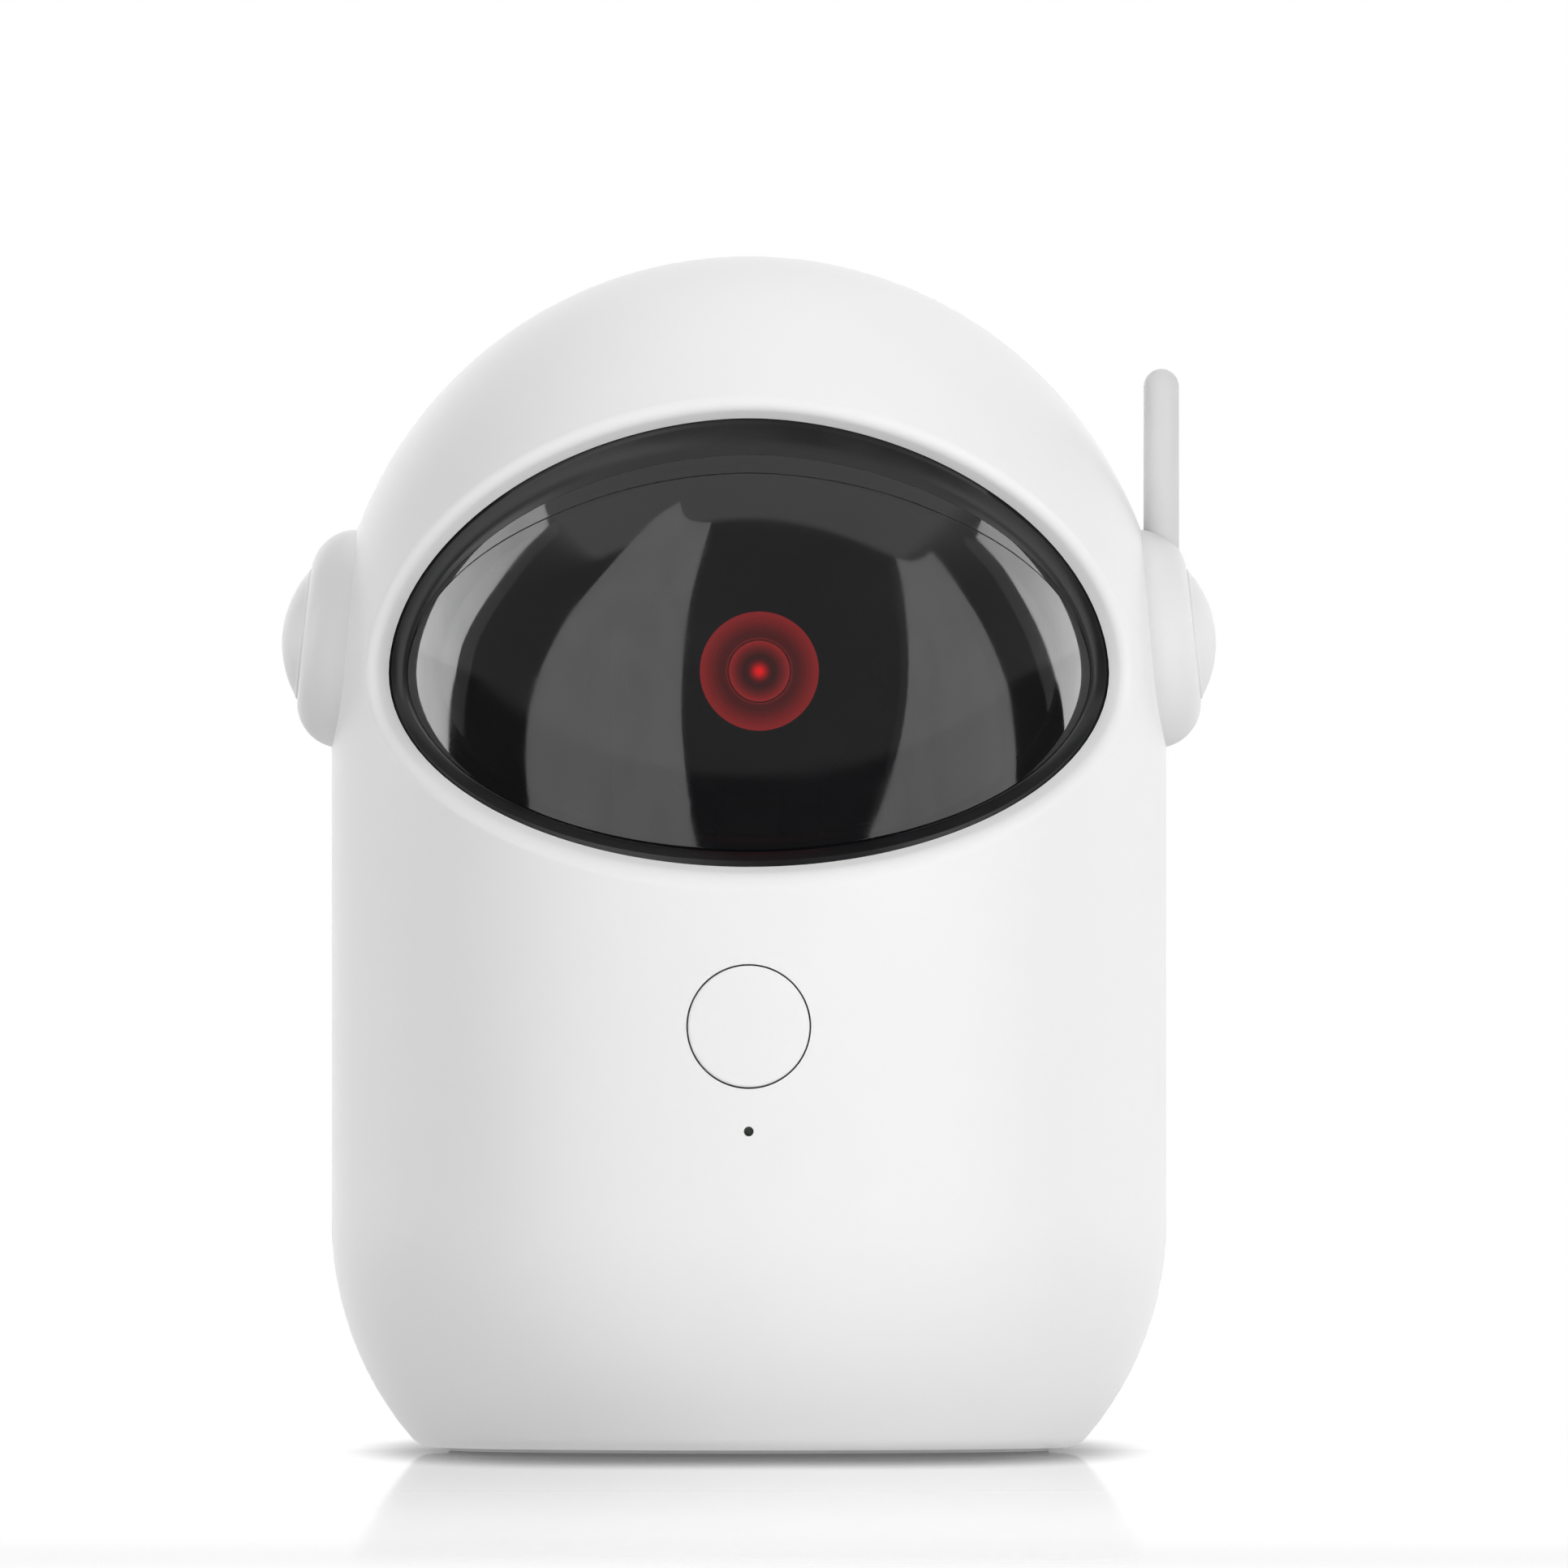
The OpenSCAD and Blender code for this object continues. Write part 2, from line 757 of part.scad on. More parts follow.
// Bosses that both shells have: base screws and deck screws
module shared_bosses() {
    at_base_bosses()
        translate([0, 0, ledge_z - 2])
            cylinder(r = boss_r, h = base_boss_h + 2);
    at_deck_bosses()
        translate([0, 0, deck_z - deck_boss_len])
            cylinder(r = boss_r, h = deck_boss_len);
}

module shared_pilots() {
    at_base_bosses()
        translate([0, 0, ledge_z - 1])
            cylinder(r = pilot_r, h = base_boss_h);
    at_deck_bosses()
        translate([0, 0, deck_z - deck_boss_len + deck_boss_floor])
            cylinder(r = pilot_r, h = deck_boss_len);
}

module ear_holes() {
    for (side = [-1, 1])
        on_ear(side)
            translate([0, 0, -ear_x / 2])
                cylinder(r = ear_hub_r + fit, h = ear_x);
}

// Bosses for the visor's clamp ring, each on a ray from the dome's centre
module tab_bosses() {
    difference() {
        at_tabs()
            translate([0, 0, retainer_in_r])
                cylinder(r = retainer_boss_r, h = 2 * body_r);
        lens_solid(retainer_r + fit);
    }
}

module front_shell() {
    color("whitesmoke")
        difference() {
            intersection() {
                shell_wall() {
                    shared_bosses();
                    at_shell_tubes()
                        translate([0, 0, -body_r])
                            cylinder(r = tube_r, h = body_r + 1);
                    at_board_holes()
                        translate([0, 0, -body_r])
                            cylinder(r = board_boss_r, h = body_r - board_t - fit);
                    rod_y(0, button_z, button_guide_r + button_guide_t, -body_r, button_guide_y);
                    tab_bosses();
                }
                slab(-big, -fit / 2);
            }
            opening_cutter();
            shared_pilots();
            at_shell_tubes()
                translate([0, 0, -tube_pilot_len])
                    cylinder(r = pilot_r, h = tube_pilot_len + 1);
            at_board_holes()
                translate([0, 0, -board_t - board_pilot_len])
                    cylinder(r = small_pilot_r, h = board_pilot_len + 0.5);
            at_tabs()
                translate([0, 0, retainer_r - 1])
                    cylinder(r = small_pilot_r, h = 4);
            rod_y(0, button_z, button_guide_r, button_stop_y - 0.9, button_guide_y + 1);
            rod_y(0, button_z, button_hole_r, -big, button_stop_y);
            rod_y(0, led_z, pinhole_d / 2, -big, -shell_in_r + 5);
            ear_holes();
            intersection() {
                difference() {
                    body_solid(wall - lip_t - fit, -1);
                    body_solid(wall + 0.4, -2);
                }
                slab(-lip_h - fit, 1);
            }
        }
}

module rear_shell() {
    color("whitesmoke")
        difference() {
            union() {
                intersection() {
                    shell_wall() {
                        shared_bosses();
                        at_shell_tubes()
                            translate([0, 0, -1])
                                cylinder(r = tube_r, h = body_r);
                        block(-charge_half_w, charge_half_w, charge_front_y + 7, big,
                              shelf_z - shelf_t, shelf_z - fit);
                    }
                    slab(fit / 2, big);
                }
                intersection() {
                    difference() {
                        body_solid(wall - lip_t, ledge_z);
                        body_solid(wall, ledge_z - 1);
                    }
                    slab(-lip_h, 1);
                }
            }
            shared_pilots();
            at_shell_tubes() {
                translate([0, 0, -1])
                    cylinder(r = screw_hole_r, h = big);
                translate([0, 0, tube_floor_y])
                    cylinder(r = tube_in_r, h = big);
            }
            at_charge_screws()
                translate([0, 0, -shelf_t - 1])
                    cylinder(r = small_pilot_r, h = shelf_t + 2);
            port_hole();
            ear_holes();
        }
}

module shell_screws() {
    color("silver")
        at_shell_tubes()
            translate([0, 0, tube_floor_y + hair])
                screw(shank_r, shell_screw_len, screw_head_r, screw_head_h);
}

// ---------------------------------------------------------------- base

module base_plate() {
    color("gainsboro")
        difference() {
            union() {
                translate([0, 0, ground_gap])
                    cylinder(r = plate_r, h = plate_t);
                for (side = [-1, 1])
                    block(side * saddle_x - saddle_t / 2, side * saddle_x + saddle_t / 2,
                          -cell_front - cell_r - saddle_wall, -cell_front + cell_r + saddle_wall,
                          plate_top - 0.5, cell_z + cell_r * 0.3);
            }
            at_base_bosses() {
                translate([0, 0, -1])
                    cylinder(r = screw_hole_r, h = big);
                translate([0, 0, -1])
                    cylinder(r = screw_head_r + screw_head_gap, h = ground_gap + screw_head_h + 1 + fit);
            }
            foot_groove();
            rod_x(-cell_front, cell_z, cell_r + fit, -cell_len, cell_len);
        }
}

module foot_groove() {
    difference() {
        translate([0, 0, -1])
            cylinder(r = foot_ring_r + fit / 2, h = foot_ring_t + 1 + fit / 2);
        translate([0, 0, -2])
            cylinder(r = foot_ring_r - foot_ring_w - fit / 2, h = foot_ring_t + 4);
    }
}

module foot_ring() {
    color("lightgray")
        difference() {
            cylinder(r = foot_ring_r, h = foot_ring_t);
            translate([0, 0, -1])
                cylinder(r = foot_ring_r - foot_ring_w, h = foot_ring_t + 2);
        }
}

module base_screws() {
    color("silver")
        at_base_bosses()
            translate([0, 0, ground_gap + screw_head_h + fit - hair])
                mirror([0, 0, 1])
                    screw(shank_r, base_screw_len, screw_head_r, screw_head_h);
}

// ---------------------------------------------------------------- visor

module visor() {
    color([0.08, 0.08, 0.09, 0.85])
        intersection() {
            difference() {
                lens_solid(visor_r);
                lens_solid(visor_in_r);
            }
            opening_cone(visor_lap);
        }
}

// A ring between the visor and the shell, swept round the opening
module visor_bezel() {
    gap = fit * 1.5;
    sections = [
        for (t = turns())
            let (
                inner = bezel_angle(t),
                edge = opening_angle(t, -bezel_edge),
                outer = opening_angle(t, bezel_lap),
                middle = (inner + outer) / 2
            ) [
                lens_at(ray(t, inner), visor_r + gap) * ray(t, inner),
                (lens_at(ray(t, inner), visor_r + gap) + bezel_lip) * ray(t, inner),
                skin_at(t, edge, wall + gap) * ray(t, edge),
                skin_at(t, outer, wall + gap) * ray(t, outer),
                lens_at(ray(t, outer), visor_r + gap) * ray(t, outer),
                lens_at(ray(t, middle), visor_r + gap) * ray(t, middle)
            ]
    ];
    corners = 6;
    faces = [
        for (i = [0 : outline_steps - 1], k = [0 : corners - 1])
            let (
                here = i * corners,
                next = ((i + 1) % outline_steps) * corners,
                m = (k + 1) % corners
            ) each [[here + k, next + m, here + m], [here + k, next + k, next + m]]
    ];
    color("black")
        translate([0, 0, dome_z])
            polyhedron([for (section = sections) each section], faces);
}

module visor_retainer() {
    color("dimgray")
        difference() {
            intersection() {
                difference() {
                    lens_solid(retainer_r);
                    lens_solid(retainer_in_r);
                }
                union() {
                    opening_cone(retainer_lap);
                    at_tabs()
                        cylinder(r = tab_r, h = body_r);
                }
            }
            bezel_cone();
            at_tabs()
                cylinder(r = small_screw_r + 0.15, h = body_r);
        }
}

module retainer_screws() {
    color("silver")
        at_tabs()
            translate([0, 0, retainer_in_r - 0.1])
                mirror([0, 0, 1])
                    small_screw(retainer_t + retainer_boss_grip);
}

// ---------------------------------------------------------------- ears

module ear_profile() {
    square([ear_r - ear_shoulder, ear_depth]);
    intersection() {
        translate([ear_r - ear_shoulder, ear_depth - ear_shoulder])
            circle(ear_shoulder);
        translate([ear_r - ear_shoulder, -0.8])
            square([ear_shoulder * 2, ear_depth + 0.8]);
    }
    translate([0, -0.8])
        square([ear_r - ear_shoulder, 0.8]);
}

module ear_pod(side) {
    color(side < 0 ? "gainsboro" : "whitesmoke")
        difference() {
            union() {
                difference() {
                    on_ear(side)
                        rotate_extrude()
                            ear_profile();
                    body_solid(-fit);
                }
                on_ear(side) {
                    translate([0, 0, ear_flange_u - ear_flange_t / 2])
                        cylinder(r = ear_hub_r, h = ear_depth - cap_pocket - ear_flange_u);
                    translate([0, 0, ear_flange_u - ear_flange_t])
                        cylinder(r = ear_flange_r, h = ear_flange_t);
                }
            }
            on_ear(side) {
                translate([0, 0, ear_depth - cap_pocket])
                    cylinder(r = ear_cap_r + fit, h = ear_depth);
                translate([0, 0, ear_depth - cap_pocket - cap_stem_len - 0.3])
                    cylinder(r = cap_stem_r + 0.03, h = ear_depth);
            }
            if (side > 0)
                translate([antenna_x, 0, antenna_foot_z - fit])
                    cylinder(r = antenna_d / 2 + running, h = ear_r);
        }
}

module ear_cap(side) {
    color("gray")
        on_ear(side) {
            intersection() {
                translate([0, 0, ear_depth + ear_cap_rise - cap_sphere_r])
                    sphere(cap_sphere_r);
                translate([0, 0, ear_depth - cap_pocket + fit])
                    cylinder(r = ear_cap_r, h = ear_depth);
            }
            translate([0, 0, ear_depth - cap_pocket - cap_stem_len])
                cylinder(r = cap_stem_r, h = cap_stem_len + 1);
        }
}

module left_ear_pod() { ear_pod(-1); }
module right_ear_pod() { ear_pod(1); }
module left_ear_cap() { ear_cap(-1); }
module right_ear_cap() { ear_cap(1); }

module antenna() {
    top_r = antenna_d / 2;
    color("gainsboro")
        difference() {
            translate([antenna_x, 0, 0])
                rotate_extrude() {
                    translate([0, antenna_foot_z])
                        square([top_r, antenna_top_z - top_r - antenna_foot_z]);
                    intersection() {
                        translate([0, antenna_top_z - top_r])
                            circle(top_r);
                        translate([0, antenna_top_z - top_r])
                            square(2 * top_r);
                    }
                }
            body_solid(-fit);
        }
}

// ---------------------------------------------------------------- button and main board

module power_button() {
    color("whitesmoke") {
        intersection() {
            body_solid();
            rod_y(0, button_z, button_r, -big, button_stop_y + button_flange_t / 2);
        }
        rod_y(0, button_z, button_flange_r, button_stop_y, button_stop_y + button_flange_t);
        rod_y(0, button_z, plunger_r, button_stop_y + button_flange_t / 2, plunger_face_y);
    }
}

module switch_plunger() {
    color("black")
        rod_y(0, button_z, plunger_r, plunger_face_y, switch_face_y + plunger_in - button_travel - 0.1);
}

module tact_switch() {
    half = switch_w / 2;
    color("darkslategray") {
        difference() {
            block(-half, half, switch_face_y, board_front_y - fit, button_z - half, button_z + half);
            rod_y(0, button_z, plunger_r + running, switch_face_y - 1, switch_face_y + plunger_in);
        }
    }
}

module status_led() {
    tip_y = -shell_in_r + 0.5;
    color("palegreen") {
        rod_y(0, led_z, led_r, tip_y + led_r, board_front_y - fit);
        intersection() {
            translate([0, tip_y + led_r, led_z])
                sphere(led_r);
            slab(-big, tip_y + led_r);
        }
    }
}

module main_board() {
    color("darkgreen")
        difference() {
            block(-board_half_w, board_half_w, board_front_y, board_back_y, board_low_z, board_high_z);
            at_board_holes()
                translate([0, 0, -5])
                    cylinder(r = small_screw_r + 0.2, h = 10);
        }
}

module board_screws() {
    color("silver")
        at_board_holes()
            translate([0, 0, solder])
                small_screw(board_t + board_screw_grip);
}

module controller_chip() {
    color("black")
        translate([-chip_w / 2, board_back_y + solder, (button_z + led_z) / 2 - chip_w / 2])
            cube([chip_w, chip_t, chip_w]);
}

module board_components() {
    y = board_back_y + solder;
    color("tan") {
        for (x = [-part_x, part_x], step = [0 : 2])
            translate([x - part_w / 2, y, led_z - part_w / 2 + step * part_pitch])
                cube([part_w, part_w / 2, part_w * 0.6]);
        for (x = [-part_x, part_x])
            rod_y(x, button_z + part_w * 2, part_w, y, y + part_w * 2);
        translate([-part_w * 0.8, y, button_z + part_w * 1.3])
            cube([part_w * 1.6, part_w / 2, part_w * 1.2]);
    }
}

module board_connectors() {
    y = board_back_y + solder;
    wall_t = connector_wall;
    color("ivory")
        for (x = [-connector_x, connector_x])
            difference() {
                translate([x - connector_w / 2, y, connector_z - connector_h / 2])
                    cube([connector_w, connector_d, connector_h]);
                translate([x - connector_w / 2 + wall_t, y + 1, connector_z - connector_h / 2 + wall_t])
                    cube([connector_w - 2 * wall_t, connector_d, connector_h - 2 * wall_t]);
            }
}

// ---------------------------------------------------------------- charging port and battery

module port_shape(w, h, y1, y2) {
    r = h / 2;
    block(-w / 2 + r, w / 2 - r, y1, y2, port_z - r, port_z + r);
    for (side = [-1, 1])
        intersection() {
            rod_y(side * (w / 2 - r), port_z, r, y1, y2);
            block(min(0, side * w), max(0, side * w), y1, y2, port_z - h, port_z + h);
        }
}

module port_hole() {
    port_shape(port_w + 0.5, port_h + 0.5, shell_in_r - 5, big);
    port_shape(port_recess_w, port_recess_h, body_r - port_recess_d, big);
}

module at_charge_screws() {
    for (side = [-1, 1])
        translate([side * (charge_half_w - 2.1), charge_back_y - 4, shelf_z])
            children();
}

module charge_board() {
    color("darkgreen")
        difference() {
            block(-charge_half_w, charge_half_w, charge_front_y, charge_back_y, shelf_z, shelf_z + board_t);
            at_charge_screws()
                translate([0, 0, -1])
                    cylinder(r = small_screw_r + 0.2, h = board_t + 2);
        }
}

module charge_board_screws() {
    color("silver")
        at_charge_screws()
            translate([0, 0, board_t + 0.05])
                small_screw(board_t + 1.6);
}

module charge_chip() {
    color("black")
        block(-2.5, 2.5, charge_front_y + 3, charge_front_y + 7,
              shelf_z + board_t + 0.05, shelf_z + board_t + 1.4);
}

module usb_socket() {
    color("silver")
        difference() {
            port_shape(port_w, port_h, port_face_y - port_len, port_face_y);
            port_shape(port_w - 2 * port_shell_t, port_h - 2 * port_shell_t,
                       port_face_y - port_len + 0.6, port_face_y + 1);
        }
}

module usb_tongue() {
    color("black")
        block(-3.2, 3.2, port_face_y - port_len + 0.65, port_face_y - 0.8, port_z - 0.35, port_z + 0.35);
}

module battery_cell() {
    color("royalblue") {
        rod_x(-cell_front, cell_z, cell_r, -cell_len / 2, cell_len / 2);
        rod_x(-cell_front, cell_z, cell_r * 0.4, cell_len / 2 - 1, cell_len / 2 + cell_cap);
    }
}

module battery_foam() {
    half = saddle_x - saddle_t - saddle_t / 2;
    color("dimgray")
        block(-half, half, -cell_front - foam_half_w, -cell_front + foam_half_w,
              plate_top + hair, cell_z - cell_r - hair);
}

// Each lead runs from one end of the cell, up past the base's bosses, into the
// right-hand connector
module battery_leads() {
    low_z = board_low_z - 5 * lead_r;
    plug_y = board_back_y + plug_in;
    color("red")
        for (side = [-1, 1]) {
            start_x = side * (cell_len / 2 + lead_r + lead_gap) + (side > 0 ? cell_cap : 0);
            plug_x = connector_x + side * lead_pitch;
            lead([
                [start_x, -cell_front, cell_z],
                [start_x, -cell_front - cell_r - lead_bend, cell_z + lead_bend],
                [side * lead_side + 2 * lead_r, board_y + lead_back, low_z + side],
                [plug_x, board_y + lead_back, connector_z],
                [plug_x, plug_y, connector_z]
            ]);
        }
}

// From the pan motor's terminals, past the cell, into the left-hand connector
module motor_leads() {
    color("black")
        for (side = [-1, 1])
            lead([
                [-terminal_x, pan_distance + side * terminal_pitch, motor_z - lead_r - 0.1],
                [-terminal_x - lead_out, pan_distance - motor_d / 2 + side * terminal_pitch,
                 motor_z - lead_r - 0.3],
                [-lead_side + 1, side * 2 * lead_r, board_low_z + 10 * lead_r],
                [-connector_x + side * lead_pitch, board_y + lead_back, connector_z],
                [-connector_x + side * lead_pitch, board_back_y + plug_in, connector_z]
            ]);
}

// ---------------------------------------------------------------- turret

module at_bracket_posts() {
    for (side = [-1, 1])
        translate([side * bracket_post_x, pan_distance, 0])
            children();
}

module turret_deck() {
    color("dimgray")
        difference() {
            translate([0, 0, deck_z + hair])
                cylinder(r = deck_r, h = deck_t - hair);
            translate([0, 0, deck_z - 1])
                cylinder(r = bush_r, h = deck_t + 2);
            at_deck_bosses()
                cylinder(r = screw_hole_r, h = big);
            at_bracket_posts()
                cylinder(r = screw_hole_r, h = big);
        }
}

module deck_screws() {
    color("silver")
        at_deck_bosses()
            translate([0, 0, deck_top + hair])
                screw(shank_r, deck_screw_len, flat_head_r, screw_head_h);
}

module pan_bush() {
    color("goldenrod")
        difference() {
            union() {
                translate([0, 0, deck_z])
                    cylinder(r = bush_r - hair, h = deck_t + 0.2);
                translate([0, 0, deck_top + hair])
                    cylinder(r = bush_r + 1.5, h = bush_flange - hair);
            }
            translate([0, 0, deck_z - 1])
                cylinder(r = bush_in_r, h = deck_t + 3);
        }
}

// A plate under the pan gear, hung from the deck by two posts
module motor_bracket() {
    post_h = deck_z - bracket_z;
    color("dimgray")
        difference() {
            union() {
                block(-bracket_post_x, bracket_post_x, pan_distance - motor_d / 2, pan_distance + motor_d / 2,
                      bracket_z, bracket_top);
                at_bracket_posts()
                    translate([0, 0, bracket_z])
                        cylinder(r = bracket_post_r, h = post_h);
            }
            translate([0, pan_distance, bracket_z - 1])
                cylinder(r = motor_shaft_r + 0.5, h = bracket_t + 2);
            at_bracket_posts()
                translate([0, 0, bracket_top])
                    cylinder(r = pilot_r, h = post_h);
        }
}

module bracket_screws() {
    color("silver")
        at_bracket_posts()
            translate([0, 0, deck_top + hair])
                screw(shank_r, bracket_screw_len, flat_head_r, screw_head_h / 2);
}

// The gearbox hangs under the bracket, held by two screws of its own
module pan_gearbox() {
    color("goldenrod")
        difference() {
            block(-motor_w / 2, motor_w / 2, pan_distance - motor_d / 2, pan_distance + motor_d / 2,
                  gearbox_z + hair, bracket_z - hair);
            translate([0, pan_distance, bracket_z - 3])
                cylinder(r = motor_shaft_r + running, h = 4);
        }
}

module pan_motor_can() {
    color("silver") {
        intersection() {
            translate([0, pan_distance, motor_z])
                cylinder(r = motor_w / 2, h = motor_len);
            slab(pan_distance - motor_d / 2, pan_distance + motor_d / 2);
        }
        translate([0, pan_distance, motor_z - 0.5])
            cylinder(r = 2, h = 1);
    }
}

module pan_motor_shaft() {
    color("silver")
        translate([0, pan_distance, bracket_z - 2.8])
            cylinder(r = motor_shaft_r, h = bracket_t + 2.8 + 0.4 + pan_gear_t);
}

module pan_pinion() {
    color("white")
        translate([0, pan_distance, pan_gear_z])
            gear(pinion_teeth, -90, pan_gear_t, motor_shaft_r);
}

module turntable() {
    color("dimgray")
        difference() {
            union() {
                translate([0, 0, table_z])
                    cylinder(r = table_r, h = table_t);
                translate([0, 0, pan_gear_z])
                    cylinder(r = pan_shaft_r, h = table_z - pan_gear_z + 0.5);
                for (x = [-tilt_motor_len * 0.25, tilt_motor_len * 0.25])
                    translate([x, 0, 0])
                        motor_clip();
            }
            at_yoke_screws()
                translate([0, 0, -table_t - 2])
                    cylinder(r = pilot_r, h = table_t + 3);
            translate([0, 0, pan_gear_z - 1])
                cylinder(r = small_pilot_r, h = 6);
        }
}

// A springy ring that is open towards the ball, on a post
module motor_clip() {
    post_w = tilt_motor_d * 0.7;
    difference() {
        union() {
            rod_x(tilt_drive, tilt_motor_z, tilt_motor_r + clip_t, -clip_len / 2, clip_len / 2);
            block(-clip_len / 2, clip_len / 2, tilt_drive - post_w / 2, tilt_drive + post_w / 2,
                  table_top - 0.5, tilt_motor_z - tilt_motor_r * 0.5);
        }
        rod_x(tilt_drive, tilt_motor_z, tilt_motor_r + running, -clip_len, clip_len);
        translate([0, tilt_drive, tilt_motor_z])
            rotate([45, 0, 0])
                translate([-clip_len, -tilt_motor_r * 0.85, tilt_motor_r * 0.3])
                    cube([2 * clip_len, tilt_motor_r * 1.7, tilt_motor_d]);
    }
}

module pan_gear() {
    color("white")
        translate([0, 0, pan_gear_z])
            gear(pan_teeth, 90 + 180 / pan_teeth, pan_gear_t, pan_shaft_r);
}

module pan_gear_screw() {
    color("silver")
        translate([0, 0, pan_gear_z - hair])
            mirror([0, 0, 1])
                screw(small_screw_r - 0.15, 4, pan_shaft_r + 1, small_head_h);
}

module at_yoke_screws() {
    for (side = [-1, 1], y = [-yoke_screw_y, yoke_screw_y])
        translate([side * yoke_screw_x, y, table_top])
            children();
}

// One upright: its shape seen from the side, then its foot on the turntable
module upright(side, outline) {
    inner = side < 0 ? -yoke_out : yoke_in;
    foot = side < 0 ? -yoke_out - yoke_foot_w : yoke_out - 0.5;
    foot_y = yoke_screw_y + yoke_edge;
    color("dimgray")
        difference() {
            union() {
                translate([inner, 0, 0])
                    rotate([90, 0, 90])
                        linear_extrude(yoke_t)
                            union() {
                                polygon(outline);
                                translate([0, dome_z])
                                    circle(yoke_head_r);
                            }
                block(foot, foot + yoke_foot_w + 0.5, -foot_y, foot_y,
                      table_top + hair, table_top + yoke_foot_t);
            }
            rod_x(0, dome_z, pin_r + running, -big, big);
            at_yoke_screws()
                translate([0, 0, -1])
                    cylinder(r = screw_r + 0.1, h = yoke_foot_t + 2);
            if (side > 0)
                rod_x(tilt_drive, tilt_motor_z, tilt_shaft_r + 0.4, 0, big);
        }
}

module yoke_left() {
    bottom = table_top + hair;
    upright(-1, [
        [-yoke_half_w, bottom], [yoke_half_w, bottom], [yoke_neck, dome_z], [-yoke_neck, dome_z]
    ]);
}

module yoke_right() {
    bottom = table_top + hair;
    upright(1, [
        [-yoke_half_w, bottom], [tilt_drive + yoke_arm, bottom],
        [tilt_drive + yoke_arm, tilt_motor_z + yoke_arm], [yoke_neck, dome_z], [-yoke_neck, dome_z]
    ]);
}

module yoke_screws() {
    color("silver")
        at_yoke_screws()
            translate([0, 0, yoke_foot_t + hair])
                screw(shank_r, yoke_foot_t + table_t - yoke_screw_short,
                      yoke_screw_head_r, yoke_screw_head_h);
}

module tilt_motor() {
    face_x = yoke_in - fit;
    color("silver")
        difference() {
            rod_x(tilt_drive, tilt_motor_z, tilt_motor_r, face_x - tilt_motor_len, face_x);
            rod_x(tilt_drive, tilt_motor_z, tilt_shaft_r + running, face_x - 3, face_x + 1);
        }
}

module tilt_motor_shaft() {
    color("silver")
        rod_x(tilt_drive, tilt_motor_z, tilt_shaft_r, yoke_in - fit - 2.8, tilt_gear_x + tilt_gear_t);
}

module tilt_pinion() {
    color("white")
        translate([tilt_gear_x, tilt_drive, tilt_motor_z])
            rotate([90, 0, 90])
                gear(pinion_teeth, 135, tilt_gear_t, tilt_shaft_r);
}

// ---------------------------------------------------------------- laser head

module at_pod_screws() {
    for (side = [-1, 1])
        translate([0, 0, dome_z + side * pod_screw_z])
            rotate([-90, 0, 0])
                children();
}

// The ball, hollow round the hubs of the trunnion pins, the screw bosses and
// the sleeve of the barrel
module ball_body() {
    difference() {
        translate([0, 0, dome_z])
            sphere(ball_r);
        difference() {
            translate([0, 0, dome_z])
                sphere(ball_r - ball_wall);
            rod_x(0, dome_z, pin_r + 1.5, -ball_r, -pin_from);
            rod_x(0, dome_z, pin_r + 1.5, pin_from, ball_r);
            at_pod_screws()
                translate([0, 0, -ball_r])
                    cylinder(r = pod_boss_r, h = 2 * ball_r);
            rod_y(lens_side, lens_z, barrel_r + barrel_sleeve_t, -ball_r, -2);
        }
        rod_x(0, dome_z, pin_r + hair, -big, big);
        rod_y(lens_side, lens_z, barrel_r + 0.05, -big, 0);
        rod_y(lens_side, lens_z, lens_ring_r + 0.05, -big, lens_seat_y);
    }
}

module pod_front() {
    color("dimgray")
        difference() {
            intersection() {
                ball_body();
                slab(-big, -fit / 2);
            }
            at_pod_screws()
                translate([0, 0, -5])
                    cylinder(r = small_pilot_r, h = 6);
        }
}

module pod_rear() {
    color("dimgray")
        difference() {
            intersection() {
                ball_body();
                slab(fit / 2, big);
            }
            at_pod_screws() {
                translate([0, 0, -1])
                    cylinder(r = small_screw_r + 0.1, h = big);
                translate([0, 0, ball_r * 0.5])
                    cylinder(r = small_head_r + 0.1, h = big);
            }
        }
}

module pod_screws() {
    color("silver")
        at_pod_screws()
            translate([0, 0, ball_r * 0.5 + hair])
                screw(small_screw_r - 0.15, ball_r * 0.5 + 4, small_head_r, small_head_h);
}

module laser_barrel() {
    color("goldenrod")
        rod_y(lens_side, lens_z, barrel_r, barrel_front_y, barrel_front_y + barrel_len);
}

module laser_lens() {
    color("red")
        rod_y(lens_side, lens_z, barrel_r - fit, barrel_front_y - lens_t, barrel_front_y - hair);
}

module lens_ring() {
    color("firebrick")
        difference() {
            rod_y(lens_side, lens_z, lens_ring_r, lens_front_y, lens_seat_y - hair);
            rod_y(lens_side, lens_z, barrel_r + 0.05, -big, 0);
        }
}

module trunnion_pins() {
    color("silver") {
        rod_x(0, dome_z, pin_r, -yoke_out - 0.4, -pin_from - 0.2);
        rod_x(0, dome_z, pin_r, pin_from + 0.2, tilt_gear_x + tilt_gear_t + 0.4);
    }
}

// Only the teeth that the pinion reaches, on a sector with a round hub
module tilt_sector_gear() {
    phase = -45 + 180 / tilt_teeth;
    step = 360 / tilt_teeth;
    start = phase - ceil((phase - tilt_sector_from) / step) * step;
    count = ceil((tilt_sector_to - start) / step);
    hub_r = pin_r + 2.5;
    color("white")
        translate([tilt_gear_x, 0, dome_z])
            rotate([90, 0, 90])
                difference() {
                    union() {
                        linear_extrude(tilt_gear_t)
                            polygon(concat([[0, 0]], gear_points(tilt_teeth, start, count)));
                        cylinder(r = hub_r, h = tilt_gear_t);
                    }
                    translate([0, 0, -1])
                        cylinder(r = pin_r, h = tilt_gear_t + 2);
                }
}

